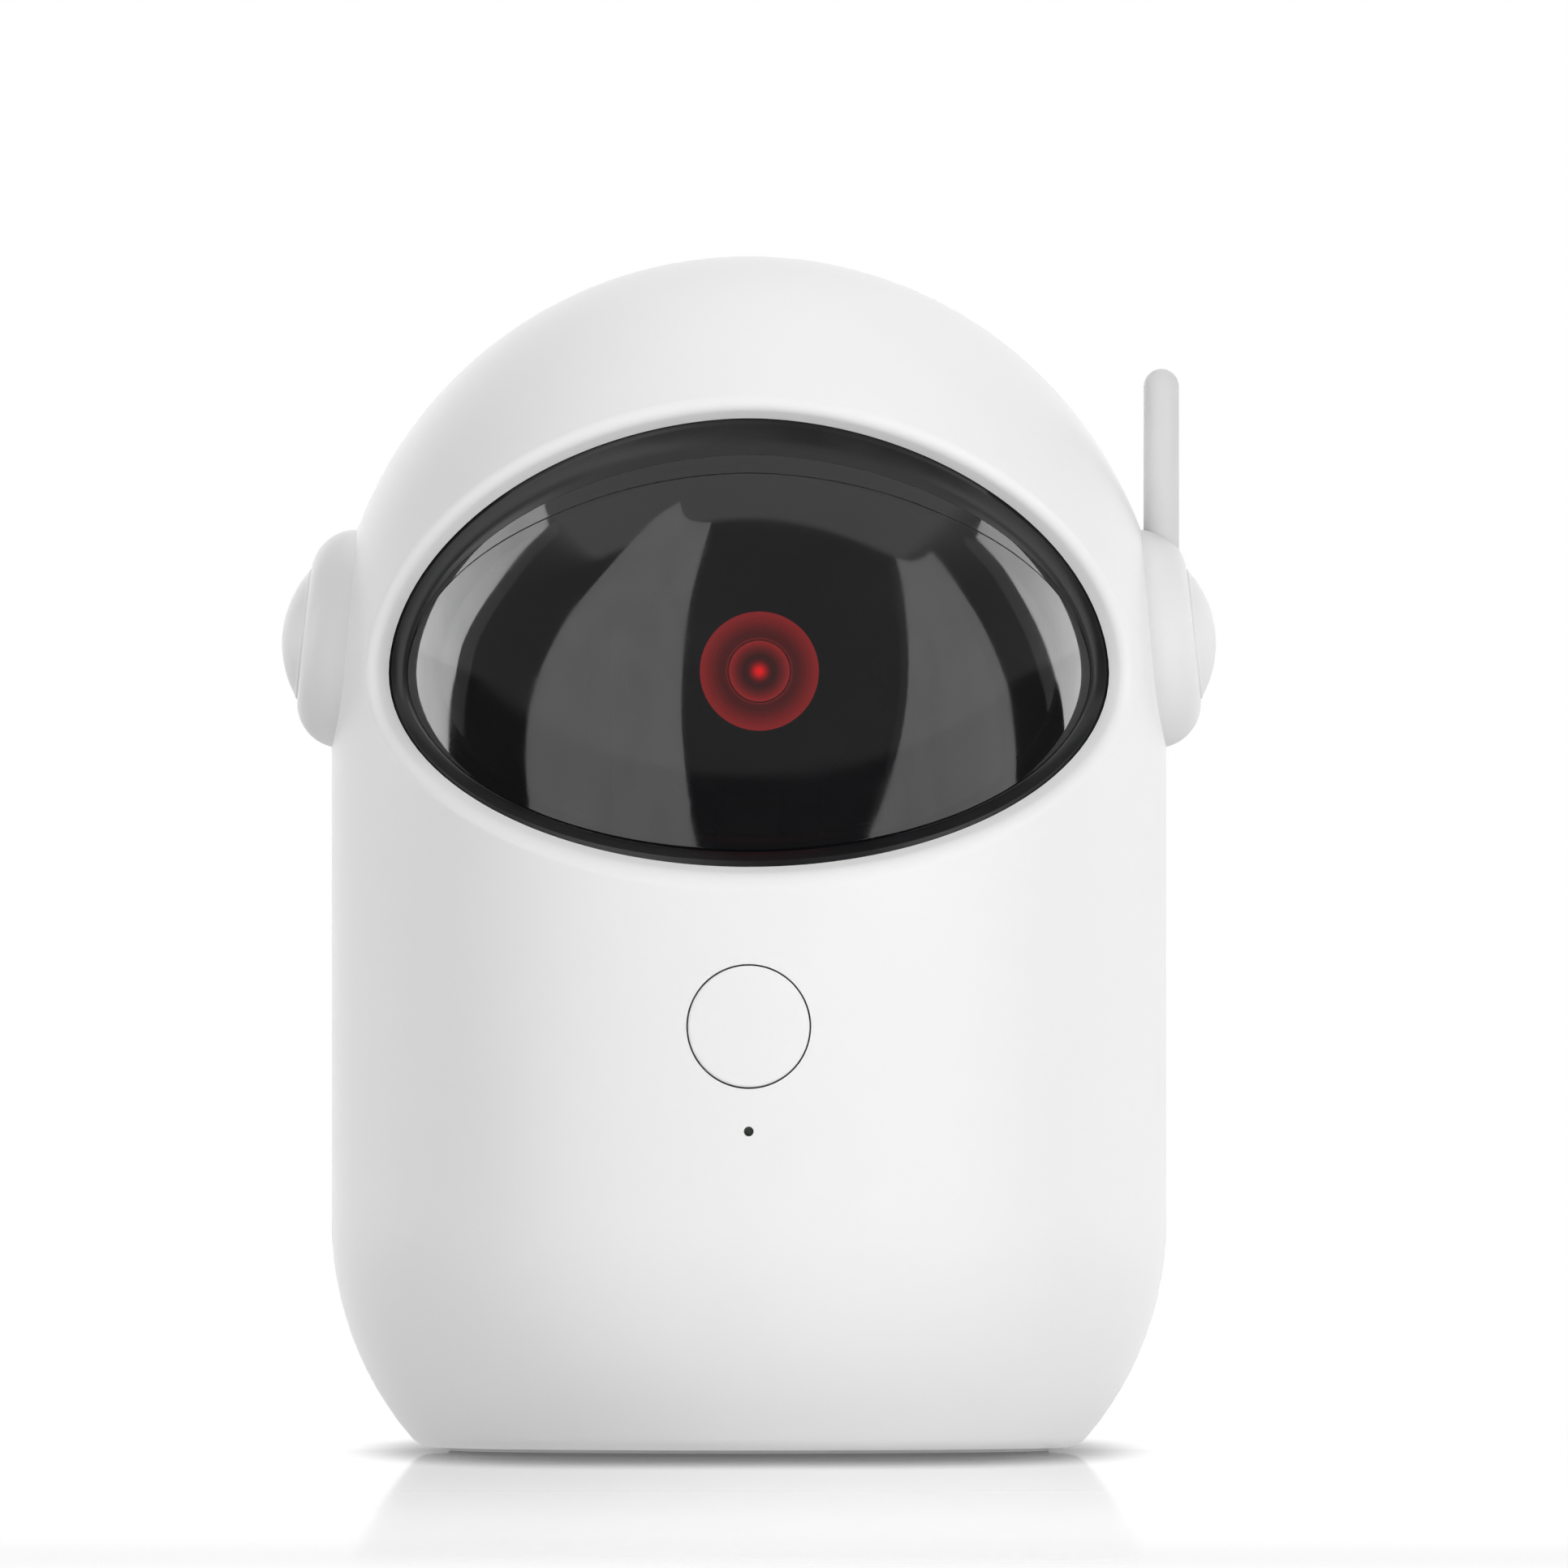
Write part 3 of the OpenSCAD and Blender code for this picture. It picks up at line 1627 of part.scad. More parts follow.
front_shell();
rear_shell();
shell_screws();
base_plate();
base_screws();
foot_ring();
visor();
visor_bezel();
visor_retainer();
retainer_screws();
left_ear_pod();
left_ear_cap();
right_ear_pod();
right_ear_cap();
antenna();
power_button();
switch_plunger();
tact_switch();
status_led();
main_board();
board_screws();
controller_chip();
board_components();
board_connectors();
charge_board();
charge_board_screws();
charge_chip();
usb_socket();
usb_tongue();
battery_cell();
battery_foam();
battery_leads();
motor_leads();
turret_deck();
deck_screws();
pan_bush();
motor_bracket();
bracket_screws();
pan_gearbox();
pan_motor_can();
pan_motor_shaft();
pan_pinion();
turntable();
pan_gear();
pan_gear_screw();
yoke_left();
yoke_right();
yoke_screws();
tilt_motor();
tilt_motor_shaft();
tilt_pinion();
pod_front();
pod_rear();
pod_screws();
laser_barrel();
laser_lens();
lens_ring();
trunnion_pins();
tilt_sector_gear();
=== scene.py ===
import math

import bmesh
import bpy
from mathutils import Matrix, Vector


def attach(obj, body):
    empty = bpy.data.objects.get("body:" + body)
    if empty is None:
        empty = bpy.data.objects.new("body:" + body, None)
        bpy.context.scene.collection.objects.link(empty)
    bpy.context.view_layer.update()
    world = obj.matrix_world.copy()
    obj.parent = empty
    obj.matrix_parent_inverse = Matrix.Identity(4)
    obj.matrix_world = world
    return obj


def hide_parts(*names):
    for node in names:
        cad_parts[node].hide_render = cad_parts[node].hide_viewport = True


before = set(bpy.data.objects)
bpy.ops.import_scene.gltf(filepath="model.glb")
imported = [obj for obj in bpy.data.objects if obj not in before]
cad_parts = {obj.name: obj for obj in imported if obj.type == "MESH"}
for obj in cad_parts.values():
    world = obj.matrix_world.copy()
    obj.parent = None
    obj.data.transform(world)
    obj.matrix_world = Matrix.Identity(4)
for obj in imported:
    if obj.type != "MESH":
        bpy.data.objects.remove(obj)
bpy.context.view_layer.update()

MM = 0.001

# Sizes of the body, as in the part's source
BODY_R = 40 * MM
DOME_Z = 74.5 * MM
WALL = 2.2 * MM
FOOT_ROUND = 32 * MM
FOOT_ROUND_Z = 22 * MM
FOOT_EDGE = 3 * MM
GROUND_GAP = 0.3 * MM
PLATE_EDGE_R = 29.32 * MM
LEDGE_Z = 2.6 * MM
LEDGE_R = 25.52 * MM
LEDGE_TOP = 4.4 * MM
SEAM = 0.05 * MM
RIM_ROUND = 1.2 * MM
VISOR_R = 36.8 * MM
VISOR_IN_R = 35 * MM
VISOR_LAP = 3 * MM
LENS_BOW = 100 * MM
LENS_STEP = 0.14 * MM
BEZEL_LAP = 2 * MM
CENTRE = Vector((0, 0, DOME_Z))
ROUND = 192

# Sizes of the visor opening
OPENING_HALF_W = 34.45 * MM
OPENING_UP = 24.3 * MM
OPENING_DOWN = 18.5 * MM
OPENING_POWER = 1.88
BEZEL_TOP_W = 3.4 * MM
BEZEL_LOW_W = 1.3 * MM
BEZEL_SIDE_W = 1.9 * MM
BEZEL_WIDEN = 2.1

# Ears, antenna and button
EAR_X = 38.65 * MM
EAR_Z = 77.85 * MM
EAR_TILT = math.radians(6.3)
EAR_R = 10.5 * MM
EAR_DEPTH = 4 * MM
EAR_SHOULDER = 4.3 * MM
EAR_HUB_R = 4 * MM
CAP_R = 6.3 * MM
CAP_RISE = 2.1 * MM
CAP_POCKET = 1.2 * MM
ANTENNA_X = 39.535 * MM
ANTENNA_R = 1.7 * MM
ANTENNA_TOP = 103.7 * MM
BUTTON_Z = 40.8 * MM
BUTTON_R = 5.8 * MM
BUTTON_GAP = 0.15 * MM
PINHOLE_Z = 30.8 * MM
PINHOLE_R = 0.465 * MM
PORT_Z = 25 * MM


# ------------------------------------------------------------------ modelling

def deselect():
    if bpy.context.object and bpy.context.object.mode != "OBJECT":
        bpy.ops.object.mode_set(mode="OBJECT")
    bpy.ops.object.select_all(action="DESELECT")


def choose(piece):
    deselect()
    piece.select_set(True)
    bpy.context.view_layer.objects.active = piece


def closed_up(piece, reach=1e-6):
    """Welds what coincides and turns every face outwards."""
    choose(piece)
    bpy.ops.object.mode_set(mode="EDIT")
    bpy.ops.mesh.select_all(action="SELECT")
    bpy.ops.mesh.remove_doubles(threshold=reach)
    bpy.ops.mesh.normals_make_consistent(inside=False)
    bpy.ops.object.mode_set(mode="OBJECT")


def drawn(name, rings, shut=True):
    """Starts from a circle and extrudes it from ring to ring, each laid on its own points.

    With shut, the ends are filled. A ring whose points all meet is welded to a pole."""
    deselect()
    count = len(rings[0])
    bpy.ops.mesh.primitive_circle_add(vertices=count, radius=MM)
    piece = bpy.context.object
    piece.name = piece.data.name = name
    bpy.ops.object.mode_set(mode="EDIT")
    mesh = bmesh.from_edit_mesh(piece.data)
    mesh.verts.ensure_lookup_table()
    row = list(range(count))
    for index, point in zip(row, rings[0]):
        mesh.verts[index].co = point
    if shut:
        bpy.ops.mesh.edge_face_add()
        bpy.ops.mesh.select_all(action="DESELECT")
        mesh = bmesh.from_edit_mesh(piece.data)
        mesh.verts.ensure_lookup_table()
        for index in row:
            mesh.verts[index].select_set(True)
        mesh.select_flush_mode()
    for ring in rings[1:]:
        before = len(mesh.verts)
        bpy.ops.mesh.extrude_edges_move()
        mesh = bmesh.from_edit_mesh(piece.data)
        mesh.verts.ensure_lookup_table()
        new_row = []
        for index in row:
            vert = mesh.verts[index]
            new_row.append(next(
                edge.other_vert(vert).index for edge in vert.link_edges
                if edge.other_vert(vert).index >= before
            ))
        row = new_row
        for index, point in zip(row, ring):
            mesh.verts[index].co = point
    if shut:
        bpy.ops.mesh.edge_face_add()
    bmesh.update_edit_mesh(piece.data)
    bpy.ops.object.mode_set(mode="OBJECT")
    closed_up(piece)
    return piece


def turned(name, profile, foot, axis, steps=96, start=None, angle=2 * math.pi):
    """A shape turned on a lathe: profile holds (radius, height along the axis) pairs."""
    axis = Vector(axis).normalized()
    start = Vector(start) if start else axis.orthogonal().normalized()
    foot = Vector(foot)
    points = [foot + start * r + axis * u for r, u in profile]
    deselect()
    bpy.ops.mesh.primitive_plane_add(size=MM)
    piece = bpy.context.object
    piece.name = piece.data.name = name
    bpy.ops.object.mode_set(mode="EDIT")
    bpy.ops.mesh.merge(type="CENTER")
    bpy.ops.transform.translate(value=points[0])
    for here, there in zip(points, points[1:]):
        bpy.ops.mesh.extrude_vertices_move(TRANSFORM_OT_translate={"value": there - here})
    bpy.ops.mesh.select_all(action="SELECT")
    bpy.ops.mesh.spin(steps=steps, angle=angle, center=foot, axis=axis)
    bpy.ops.object.mode_set(mode="OBJECT")
    closed_up(piece)
    return piece


def carved(piece, cutters, operation="DIFFERENCE"):
    for cutter in cutters:
        choose(piece)
        cut = piece.modifiers.new("cut", "BOOLEAN")
        cut.operation = operation
        cut.solver = "EXACT"
        cut.object = cutter
        bpy.ops.object.modifier_apply(modifier=cut.name)
        bpy.data.objects.remove(cutter)


def circle_points(x, z, r, y, count=64):
    """A circle that faces front, its points at the depth y, a number or a rule of x."""
    points = []
    for i in range(count):
        t = 2 * math.pi * i / count
        px, pz = x + r * math.cos(t), z + r * math.sin(t)
        points.append(Vector((px, y(px) if callable(y) else y, pz)))
    return points


def bar_y(name, x, z, r, y1, y2, count=64):
    return drawn(name, [circle_points(x, z, r, y, count) for y in (y1, y2)])


def stadium_points(w, h, y, count=16):
    r = h / 2
    points = []
    for side, first in ((1, -90), (-1, 90)):
        for i in range(count + 1):
            t = math.radians(first + 180 * i / count)
            points.append(Vector((side * (w / 2 - r) + r * math.cos(t), y, PORT_Z + r * math.sin(t))))
    return points


def smoothed(piece, angle=35):
    choose(piece)
    bpy.ops.object.shade_smooth_by_angle(angle=math.radians(angle))


def arc(x, y, r, first, last, steps):
    """Points of an arc in a profile, its angles in degrees."""
    points = []
    for i in range(steps + 1):
        t = math.radians(first + (last - first) * i / steps)
        points.append((x + r * math.cos(t), y + r * math.sin(t)))
    return points


# ------------------------------------------------------------------ the body's surfaces

def ray(t, a):
    return Vector((math.sin(a) * math.cos(t), -math.cos(a), math.sin(a) * math.sin(t)))


# The foot's two curves, each as its middle's radius and height and its own radius, and the point
# where the large one runs over into the small one
FOOT_SINK = FOOT_ROUND_Z - GROUND_GAP - FOOT_EDGE
FOOT_CURVE = (BODY_R - FOOT_ROUND, FOOT_ROUND_Z, FOOT_ROUND)
EDGE_CURVE = (
    BODY_R - FOOT_ROUND + math.sqrt((FOOT_ROUND - FOOT_EDGE) ** 2 - FOOT_SINK ** 2),
    GROUND_GAP + FOOT_EDGE, FOOT_EDGE,
)
FOOT_R = EDGE_CURVE[0]
TURN_ANGLE = math.asin(FOOT_SINK / (FOOT_ROUND - FOOT_EDGE))
TURN_R = FOOT_CURVE[0] + FOOT_ROUND * math.cos(TURN_ANGLE)
TURN_Z = FOOT_ROUND_Z - FOOT_ROUND * math.sin(TURN_ANGLE)


def skin_reach(d, inset=0.0):
    """Distance from the dome's centre to the skin along the direction d."""
    r = BODY_R - inset
    if d.z >= 0:
        return r
    across = math.hypot(d.x, d.y)
    reach = r / across if across > 1e-6 else 1.0
    if reach * -d.z <= DOME_Z - FOOT_ROUND_Z:
        return reach
    at_edge = not inset and -d.z * TURN_R > across * (DOME_Z - TURN_Z)
    side, height, curve = EDGE_CURVE if at_edge else FOOT_CURVE
    drop = DOME_Z - height
    half = drop * d.z - side * across
    rest = side ** 2 + drop ** 2 - (curve - inset) ** 2
    return -half + math.sqrt(max(half ** 2 - rest, 0))


def on_skin(t, a, inset=0.0):
    d = ray(t, a)
    return CENTRE + d * skin_reach(d, inset)


def skin_normal(p):
    flat = Vector((p.x, p.y, 0))
    if p.z >= DOME_Z:
        return (p - CENTRE).normalized()
    if p.z >= FOOT_ROUND_Z:
        return flat.normalized()
    side, height = (EDGE_CURVE if p.z < TURN_Z else FOOT_CURVE)[:2]
    return (p - flat.normalized() * side - Vector((0, 0, height))).normalized()


def smoothed_skin(piece, angle=35):
    """Shades the body's outer skin by the exact normals of its surface, right up to each hole."""
    smoothed(piece, angle)
    mesh = piece.data
    normals = [Vector(corner.vector) for corner in mesh.corner_normals]
    for face in mesh.polygons:
        for k in face.loop_indices:
            p = mesh.vertices[mesh.loops[k].vertex_index].co
            d = p - CENTRE
            if abs(d.length - skin_reach(d.normalized())) < 0.06 * MM:
                normal = skin_normal(p)
                if normal.dot(face.normal) > 0.985:
                    normals[k] = normal
    mesh.normals_split_custom_set(normals)


def egg(t, half_w, up, down):
    """Radius of an outline that is rounder above than below."""
    power, height = (OPENING_POWER, up) if math.sin(t) >= 0 else (2, down)
    return ((abs(math.cos(t)) / half_w) ** power + (abs(math.sin(t)) / height) ** power) ** (-1 / power)


def opening_angle(t, along=0.0):
    r = egg(t, OPENING_HALF_W, OPENING_UP, OPENING_DOWN)
    drop = r if math.sin(t) >= 0 else r * math.cos(t)
    return math.atan2(r, math.sqrt((BODY_R - WALL) ** 2 - drop ** 2)) + along / VISOR_R


def lens_reach(d, r):
    """Distance from the dome's centre to a face of the visor: a ball above, a slow barrel below."""
    if d.z >= 0:
        return r
    bow = LENS_BOW * math.hypot(d.x, d.y)
    return math.sqrt(bow ** 2 - LENS_BOW ** 2 + (r + LENS_BOW) ** 2) - bow


def on_lens(t, a, r):
    d = ray(t, a)
    return CENTRE + d * lens_reach(d, r)


def bezel_angle(t, along=0.0):
    lean = math.cos(math.asin(OPENING_HALF_W / (BODY_R - WALL)))
    half_w = OPENING_HALF_W - BEZEL_SIDE_W * lean * BEZEL_WIDEN
    r = egg(t, half_w, OPENING_UP - BEZEL_TOP_W, OPENING_DOWN - BEZEL_LOW_W)
    bow = 0 if math.sin(t) >= 0 else LENS_BOW
    across = math.sqrt((VISOR_R + bow) ** 2 - (r * math.sin(t)) ** 2) - bow
    return math.atan2(r, math.sqrt(across ** 2 - (r * math.cos(t)) ** 2)) + along / VISOR_R


def azimuths():
    """Turns round the opening, closer together where the seam meets the foot's rounded edge."""
    first = math.atan2(DOME_Z - TURN_Z, TURN_R)
    corner = math.atan2(DOME_Z - GROUND_GAP, FOOT_R)
    close = [first + (corner - first) * k / 6 for k in range(7)]
    close = [2 * math.pi - t for t in close] + [math.pi + t for t in close]
    turns = [2 * math.pi * i / ROUND for i in range(ROUND)]
    turns = [t for t in turns if min(abs(t - other) for other in close) > 0.008]
    return sorted(turns + close), corner


def foot_point(t, r, z):
    """The point of a level circle under the dome's centre, straight down an azimuth."""
    x = (DOME_Z - z) * math.cos(t) / abs(math.sin(t))
    x = max(-r, min(r, x))
    return Vector((x, -math.sqrt(max(r * r - x * x, 0)) - SEAM, z))


def front_shell_rings():
    """The front shell's wall as closed sections, one for each turn round the opening.

    Each runs from the rim over the skin to the foot or the seam, and back along the inside."""
    turns, corner = azimuths()
    rim_steps, skin_steps, knee_steps, inner_steps = 10, 48, 8, 20
    inner_r = BODY_R - FOOT_ROUND + math.sqrt(
        (FOOT_ROUND - WALL) ** 2 - (FOOT_ROUND_Z - LEDGE_TOP) ** 2)

    def turn_of(p):
        d = p - CENTRE
        return math.atan2(math.hypot(d.x, d.z), -d.y)

    sections = []
    for t in turns:
        below = math.sin(t) < 0 and abs(math.sin(t)) >= math.sin(corner) - 1e-9
        start = opening_angle(t, RIM_ROUND)
        if below:
            end_point = foot_point(t, FOOT_R, GROUND_GAP)
            end, knee = turn_of(end_point), turn_of(foot_point(t, TURN_R, TURN_Z))
            turn_in = [
                end_point,
                foot_point(t, PLATE_EDGE_R, GROUND_GAP),
                foot_point(t, PLATE_EDGE_R, LEDGE_Z),
                foot_point(t, LEDGE_R, LEDGE_Z),
                foot_point(t, LEDGE_R, LEDGE_TOP),
                foot_point(t, inner_r, LEDGE_TOP),
            ]
            inner_end = turn_of(turn_in[-1])
        else:
            end = inner_end = math.pi / 2
            knee = start + (end - start) * skin_steps / (skin_steps + knee_steps)
            outer = on_skin(t, end)
            inner = on_skin(t, end, WALL)
            outer.y = inner.y = -SEAM
            turn_in = [outer] + [inner] * 5
        section = []
        for k in range(rim_steps + 1):
            f = math.pi / 2 * (1 - k / rim_steps)
            a = opening_angle(t, RIM_ROUND * (1 - math.sin(f)))
            section.append(on_skin(t, a, RIM_ROUND * (1 - math.cos(f))))
        section += [on_skin(t, start + (knee - start) * k / skin_steps) for k in range(1, skin_steps + 1)]
        section += [on_skin(t, knee + (end - knee) * k / knee_steps) for k in range(1, knee_steps)]
        section += turn_in
        stop = opening_angle(t)
        for k in range(1, inner_steps + 1):
            section.append(on_skin(t, inner_end + (stop - inner_end) * k / inner_steps, WALL))
        section.append(section[0])
        for point in section:
            point.y = min(point.y, -SEAM)
        sections.append(section)
    return [[section[k] for section in sections] for k in range(len(sections[0]))]


def ear_frame(side):
    axis = Vector((side * math.cos(EAR_TILT), 0, math.sin(EAR_TILT)))
    return Vector((side * EAR_X, 0, EAR_Z)), axis


def ear_rod(name, side, r, u1, u2):
    foot, axis = ear_frame(side)
    return turned(name, [(0, u1), (r, u1), (r, u2), (0, u2)], foot, axis, 64, (0, -1, 0))


def ear_cuts():
    """Cutters for the holes that the ears' hubs go through."""
    return [ear_rod("ear_cut", side, EAR_HUB_R + 0.1 * MM, -12 * MM, 6 * MM) for side in (-1, 1)]


def front_shell():
    piece = drawn("front_shell_skin", front_shell_rings(), shut=False)
    outside, inside = -45 * MM, -30 * MM
    carved(piece, [
        bar_y("button_cut", 0, BUTTON_Z, BUTTON_R + BUTTON_GAP, outside, inside, 128),
        bar_y("pinhole_cut", 0, PINHOLE_Z, PINHOLE_R, outside, inside, 48),
    ] + ear_cuts())
    smoothed_skin(piece)
    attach(piece, "housing")
    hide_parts("front_shell")
    return piece


def rear_shell():
    """Half a lathe turn, with four screw posts bored from behind and the charging port's opening."""
    inner = BODY_R - WALL
    side = BODY_R - FOOT_ROUND

    def lower(r, z_end, steps=12):
        last = -math.degrees(math.asin((FOOT_ROUND_Z - z_end) / r))
        return arc(side, FOOT_ROUND_Z, r, 0, last, steps)

    skin = arc(0, DOME_Z, BODY_R, 90, 0, 32)
    skin += [(BODY_R, DOME_Z + (FOOT_ROUND_Z - DOME_Z) * k / 12) for k in range(1, 12)]
    skin += lower(FOOT_ROUND, TURN_Z)
    skin += arc(*EDGE_CURVE, -math.degrees(TURN_ANGLE), -90, 8)[1:]
    ledge = [(PLATE_EDGE_R, GROUND_GAP), (PLATE_EDGE_R, LEDGE_Z), (LEDGE_R, LEDGE_Z), (LEDGE_R, LEDGE_TOP)]
    lining = lower(FOOT_ROUND - WALL, LEDGE_TOP)[::-1] + arc(0, DOME_Z, inner, 0, 90, 16)
    profile = skin + ledge + lining
    profile[0] = (0, profile[0][1])
    profile[-1] = (0, profile[-1][1])
    piece = turned("rear_shell_skin", profile, (0, 0, 0), (0, 0, 1), 96, (-1, 0, 0), math.pi)
    choose(piece)
    bpy.ops.object.mode_set(mode="EDIT")
    bpy.ops.mesh.select_all(action="SELECT")
    bpy.ops.mesh.region_to_loop()
    bpy.ops.mesh.edge_face_add()
    bpy.ops.mesh.select_all(action="SELECT")
    bpy.ops.transform.translate(value=(0, SEAM, 0))
    bpy.ops.object.mode_set(mode="OBJECT")
    closed_up(piece)
    post_x, post_heights = 29.5 * MM, (23.6 * MM, 44 * MM)
    tube_r, bore_r, shank_r = 4 * MM, 2.7 * MM, 1.4 * MM
    in_wall = BODY_R - 1 * MM
    outside = 45 * MM
    posts, bores = [], []
    for x in (-post_x, post_x):
        for z in post_heights:
            posts.append(drawn("post", [
                circle_points(x, z, tube_r, 1 * MM),
                circle_points(x, z, tube_r, lambda px: math.sqrt(in_wall ** 2 - px ** 2)),
            ]))
            bores.append(bar_y("bore", x, z, bore_r, 5 * MM, outside))
            bores.append(bar_y("shank", x, z, shank_r, -1 * MM, 8 * MM, 32))
    carved(piece, posts, "UNION")
    carved(piece, bores + [
        drawn("port_cut", [stadium_points(9.44 * MM, 3.76 * MM, y) for y in (30 * MM, outside)]),
        drawn("recess_cut", [stadium_points(12.54 * MM, 7.16 * MM, y) for y in (38.8 * MM, outside)]),
    ] + ear_cuts())
    smoothed_skin(piece)
    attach(piece, "housing")
    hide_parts("rear_shell")
    return piece


# ------------------------------------------------------------------ visor and bezel

def visor():
    """A smoked lens whose face stands a little proud of the band beside the bezel."""
    face_steps, step_steps, band_steps, back_steps = 40, 6, 8, 30
    step_w, beside = 0.3 * MM, 0.04 * MM
    turns = azimuths()[0]
    rings = []

    def edge_in(t):
        """Width of the band, which is broader above."""
        f = min(max((math.sin(t) + 0.05) / 0.75, 0), 1)
        return (0.35 + 1.95 * f * f * (3 - 2 * f)) * MM

    def lay(angle, r):
        rings.append([on_lens(t, angle(t), r) for t in turns])

    for k in range(face_steps):
        lay(lambda t: bezel_angle(t, -edge_in(t)) * k / face_steps, VISOR_R)
    for back in (beside, 0):
        lay(lambda t: bezel_angle(t, -edge_in(t) - back), VISOR_R)
    for k in range(1, step_steps + 1):
        drop = LENS_STEP * (1 - math.cos(math.pi * k / step_steps)) / 2
        lay(lambda t: bezel_angle(t, step_w * k / step_steps - edge_in(t)), VISOR_R - drop)
    lay(lambda t: bezel_angle(t, step_w - edge_in(t) + beside), VISOR_R - LENS_STEP)
    for k in range(1, band_steps + 1):
        f = k / band_steps
        lay(lambda t: bezel_angle(t, step_w - edge_in(t)) * (1 - f) + opening_angle(t, VISOR_LAP) * f,
            VISOR_R - LENS_STEP)
    for k in range(back_steps + 1):
        lay(lambda t: opening_angle(t, VISOR_LAP) * (1 - k / back_steps), VISOR_IN_R)
    piece = drawn("visor_lens", rings, shut=False)
    smoothed(piece, 40)
    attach(piece, "housing")
    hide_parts("visor")
    return piece


def bezel():
    """The black ring between the shell's rim and the visor: a hollow curve that thins out on the lens."""
    low, feather = VISOR_R - LENS_STEP + 0.01 * MM, 0.004 * MM
    under = WALL + 0.15 * MM
    turns = azimuths()[0]
    sections = []
    for t in turns:
        lip = bezel_angle(t)
        edge = opening_angle(t, -0.4 * MM)
        outer = opening_angle(t, BEZEL_LAP)
        rise = (on_skin(t, edge, under) - CENTRE).length - lens_reach(ray(t, edge), low) - feather
        section = [on_lens(t, lip, low)]
        for k in range(19):
            f = k / 18
            a = lip + (edge - lip) * f
            section.append(on_lens(t, a, low) + ray(t, a) * (feather + rise * f ** 3))
        section.append(on_skin(t, outer, under))
        section += [on_lens(t, outer + (lip - outer) * k / 6, low) for k in range(7)]
        sections.append(section)
    piece = drawn("bezel_ring", [[s[k] for s in sections] for k in range(len(sections[0]))], shut=False)
    smoothed(piece, 50)
    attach(piece, "housing")
    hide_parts("visor_bezel")
    return piece


# ------------------------------------------------------------------ ears, antenna, button

def ear_pod(side, name, node):
    foot, axis = ear_frame(side)
    marker = -7 * MM
    seat = [10.3, 9.8, 9, 8, 7, 6, 5, 4.15]
    hub_bottom = -3.2 * MM
    pocket_r, pocket_u = CAP_R + 0.1 * MM, EAR_DEPTH - CAP_POCKET
    edge = 0.25 * MM
    centre_r, centre_u = EAR_R - EAR_SHOULDER, EAR_DEPTH - EAR_SHOULDER
    brow = 90 - math.degrees(math.asin((pocket_r + edge - centre_r) / EAR_SHOULDER))
    profile = [(0, pocket_u), (pocket_r, pocket_u)]
    brow_u = centre_u + EAR_SHOULDER * math.sin(math.radians(brow))
    profile += [(pocket_r, brow_u - edge)]
    profile += arc(pocket_r + edge, brow_u - edge, edge, 180, 90, 5)[1:]
    profile += arc(centre_r, centre_u, EAR_SHOULDER, brow, -6.7, 22)[1:]
    profile += [(r * MM, marker) for r in seat]
    profile += [(EAR_HUB_R, marker), (EAR_HUB_R, hub_bottom), (0, hub_bottom)]
    piece = turned(name, profile, foot, axis, 128, (0, -1, 0))
    for vert in piece.data.vertices:
        d = vert.co - foot
        if abs(d.dot(axis) - marker) < 1e-7:
            level = vert.co - axis * d.dot(axis)
            near, away = -6 * MM, 6 * MM
            for _ in range(30):
                middle = (near + away) / 2
                p = level + axis * middle - CENTRE
                if p.length < skin_reach(p.normalized()) + 0.1 * MM:
                    near = middle
                else:
                    away = middle
            vert.co = level + axis * near
    if side > 0:
        carved(piece, [turned(
            "antenna_cut", [(0, 85.65 * MM), (1.75 * MM, 85.65 * MM), (1.75 * MM, 95 * MM), (0, 95 * MM)],
            (ANTENNA_X, 0, 0), (0, 0, 1), 64)])
    smoothed(piece, 40)
    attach(piece, "housing")
    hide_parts(node)
    return piece


def ear_cap(side, name, node):
    foot, axis = ear_frame(side)
    sphere_r = (CAP_R ** 2 + CAP_RISE ** 2) / (2 * CAP_RISE)
    centre_u = EAR_DEPTH + CAP_RISE - sphere_r
    low = EAR_DEPTH - CAP_POCKET + 0.1 * MM
    edge = 0.35 * MM
    tip = math.degrees(math.acos((CAP_R - edge) / sphere_r))
    profile = arc(0, centre_u, sphere_r, 90, tip, 20)
    brow_u = profile[-1][1]
    profile += [(CAP_R - edge * (1 - math.sin(f)), brow_u - edge * (1 - math.cos(f)))
                for f in (0.3, 0.6, 0.9, 1.2, math.pi / 2)]
    profile += [(CAP_R, low), (1.5 * MM, low), (1.5 * MM, low - 2 * MM), (0, low - 2 * MM)]
    profile[0] = (0, profile[0][1])
    piece = turned(name, profile, foot, axis, 96, (0, -1, 0))
    smoothed(piece, 40)
    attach(piece, "housing")
    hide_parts(node)
    return piece


def antenna():
    low = 85.75 * MM
    profile = [(0, low), (ANTENNA_R - 0.15 * MM, low), (ANTENNA_R, low + 0.15 * MM)]
    profile += [(ANTENNA_R, low + (ANTENNA_TOP - ANTENNA_R - low) * k / 8) for k in range(1, 8)]
    profile += arc(0, ANTENNA_TOP - ANTENNA_R, ANTENNA_R, 0, 90, 14)
    profile[-1] = (0, ANTENNA_TOP)
    piece = turned("antenna_rod", profile, (ANTENNA_X, 0, 0), (0, 0, 1), 64)
    smoothed(piece, 50)
    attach(piece, "housing")
    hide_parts("antenna")
    return piece


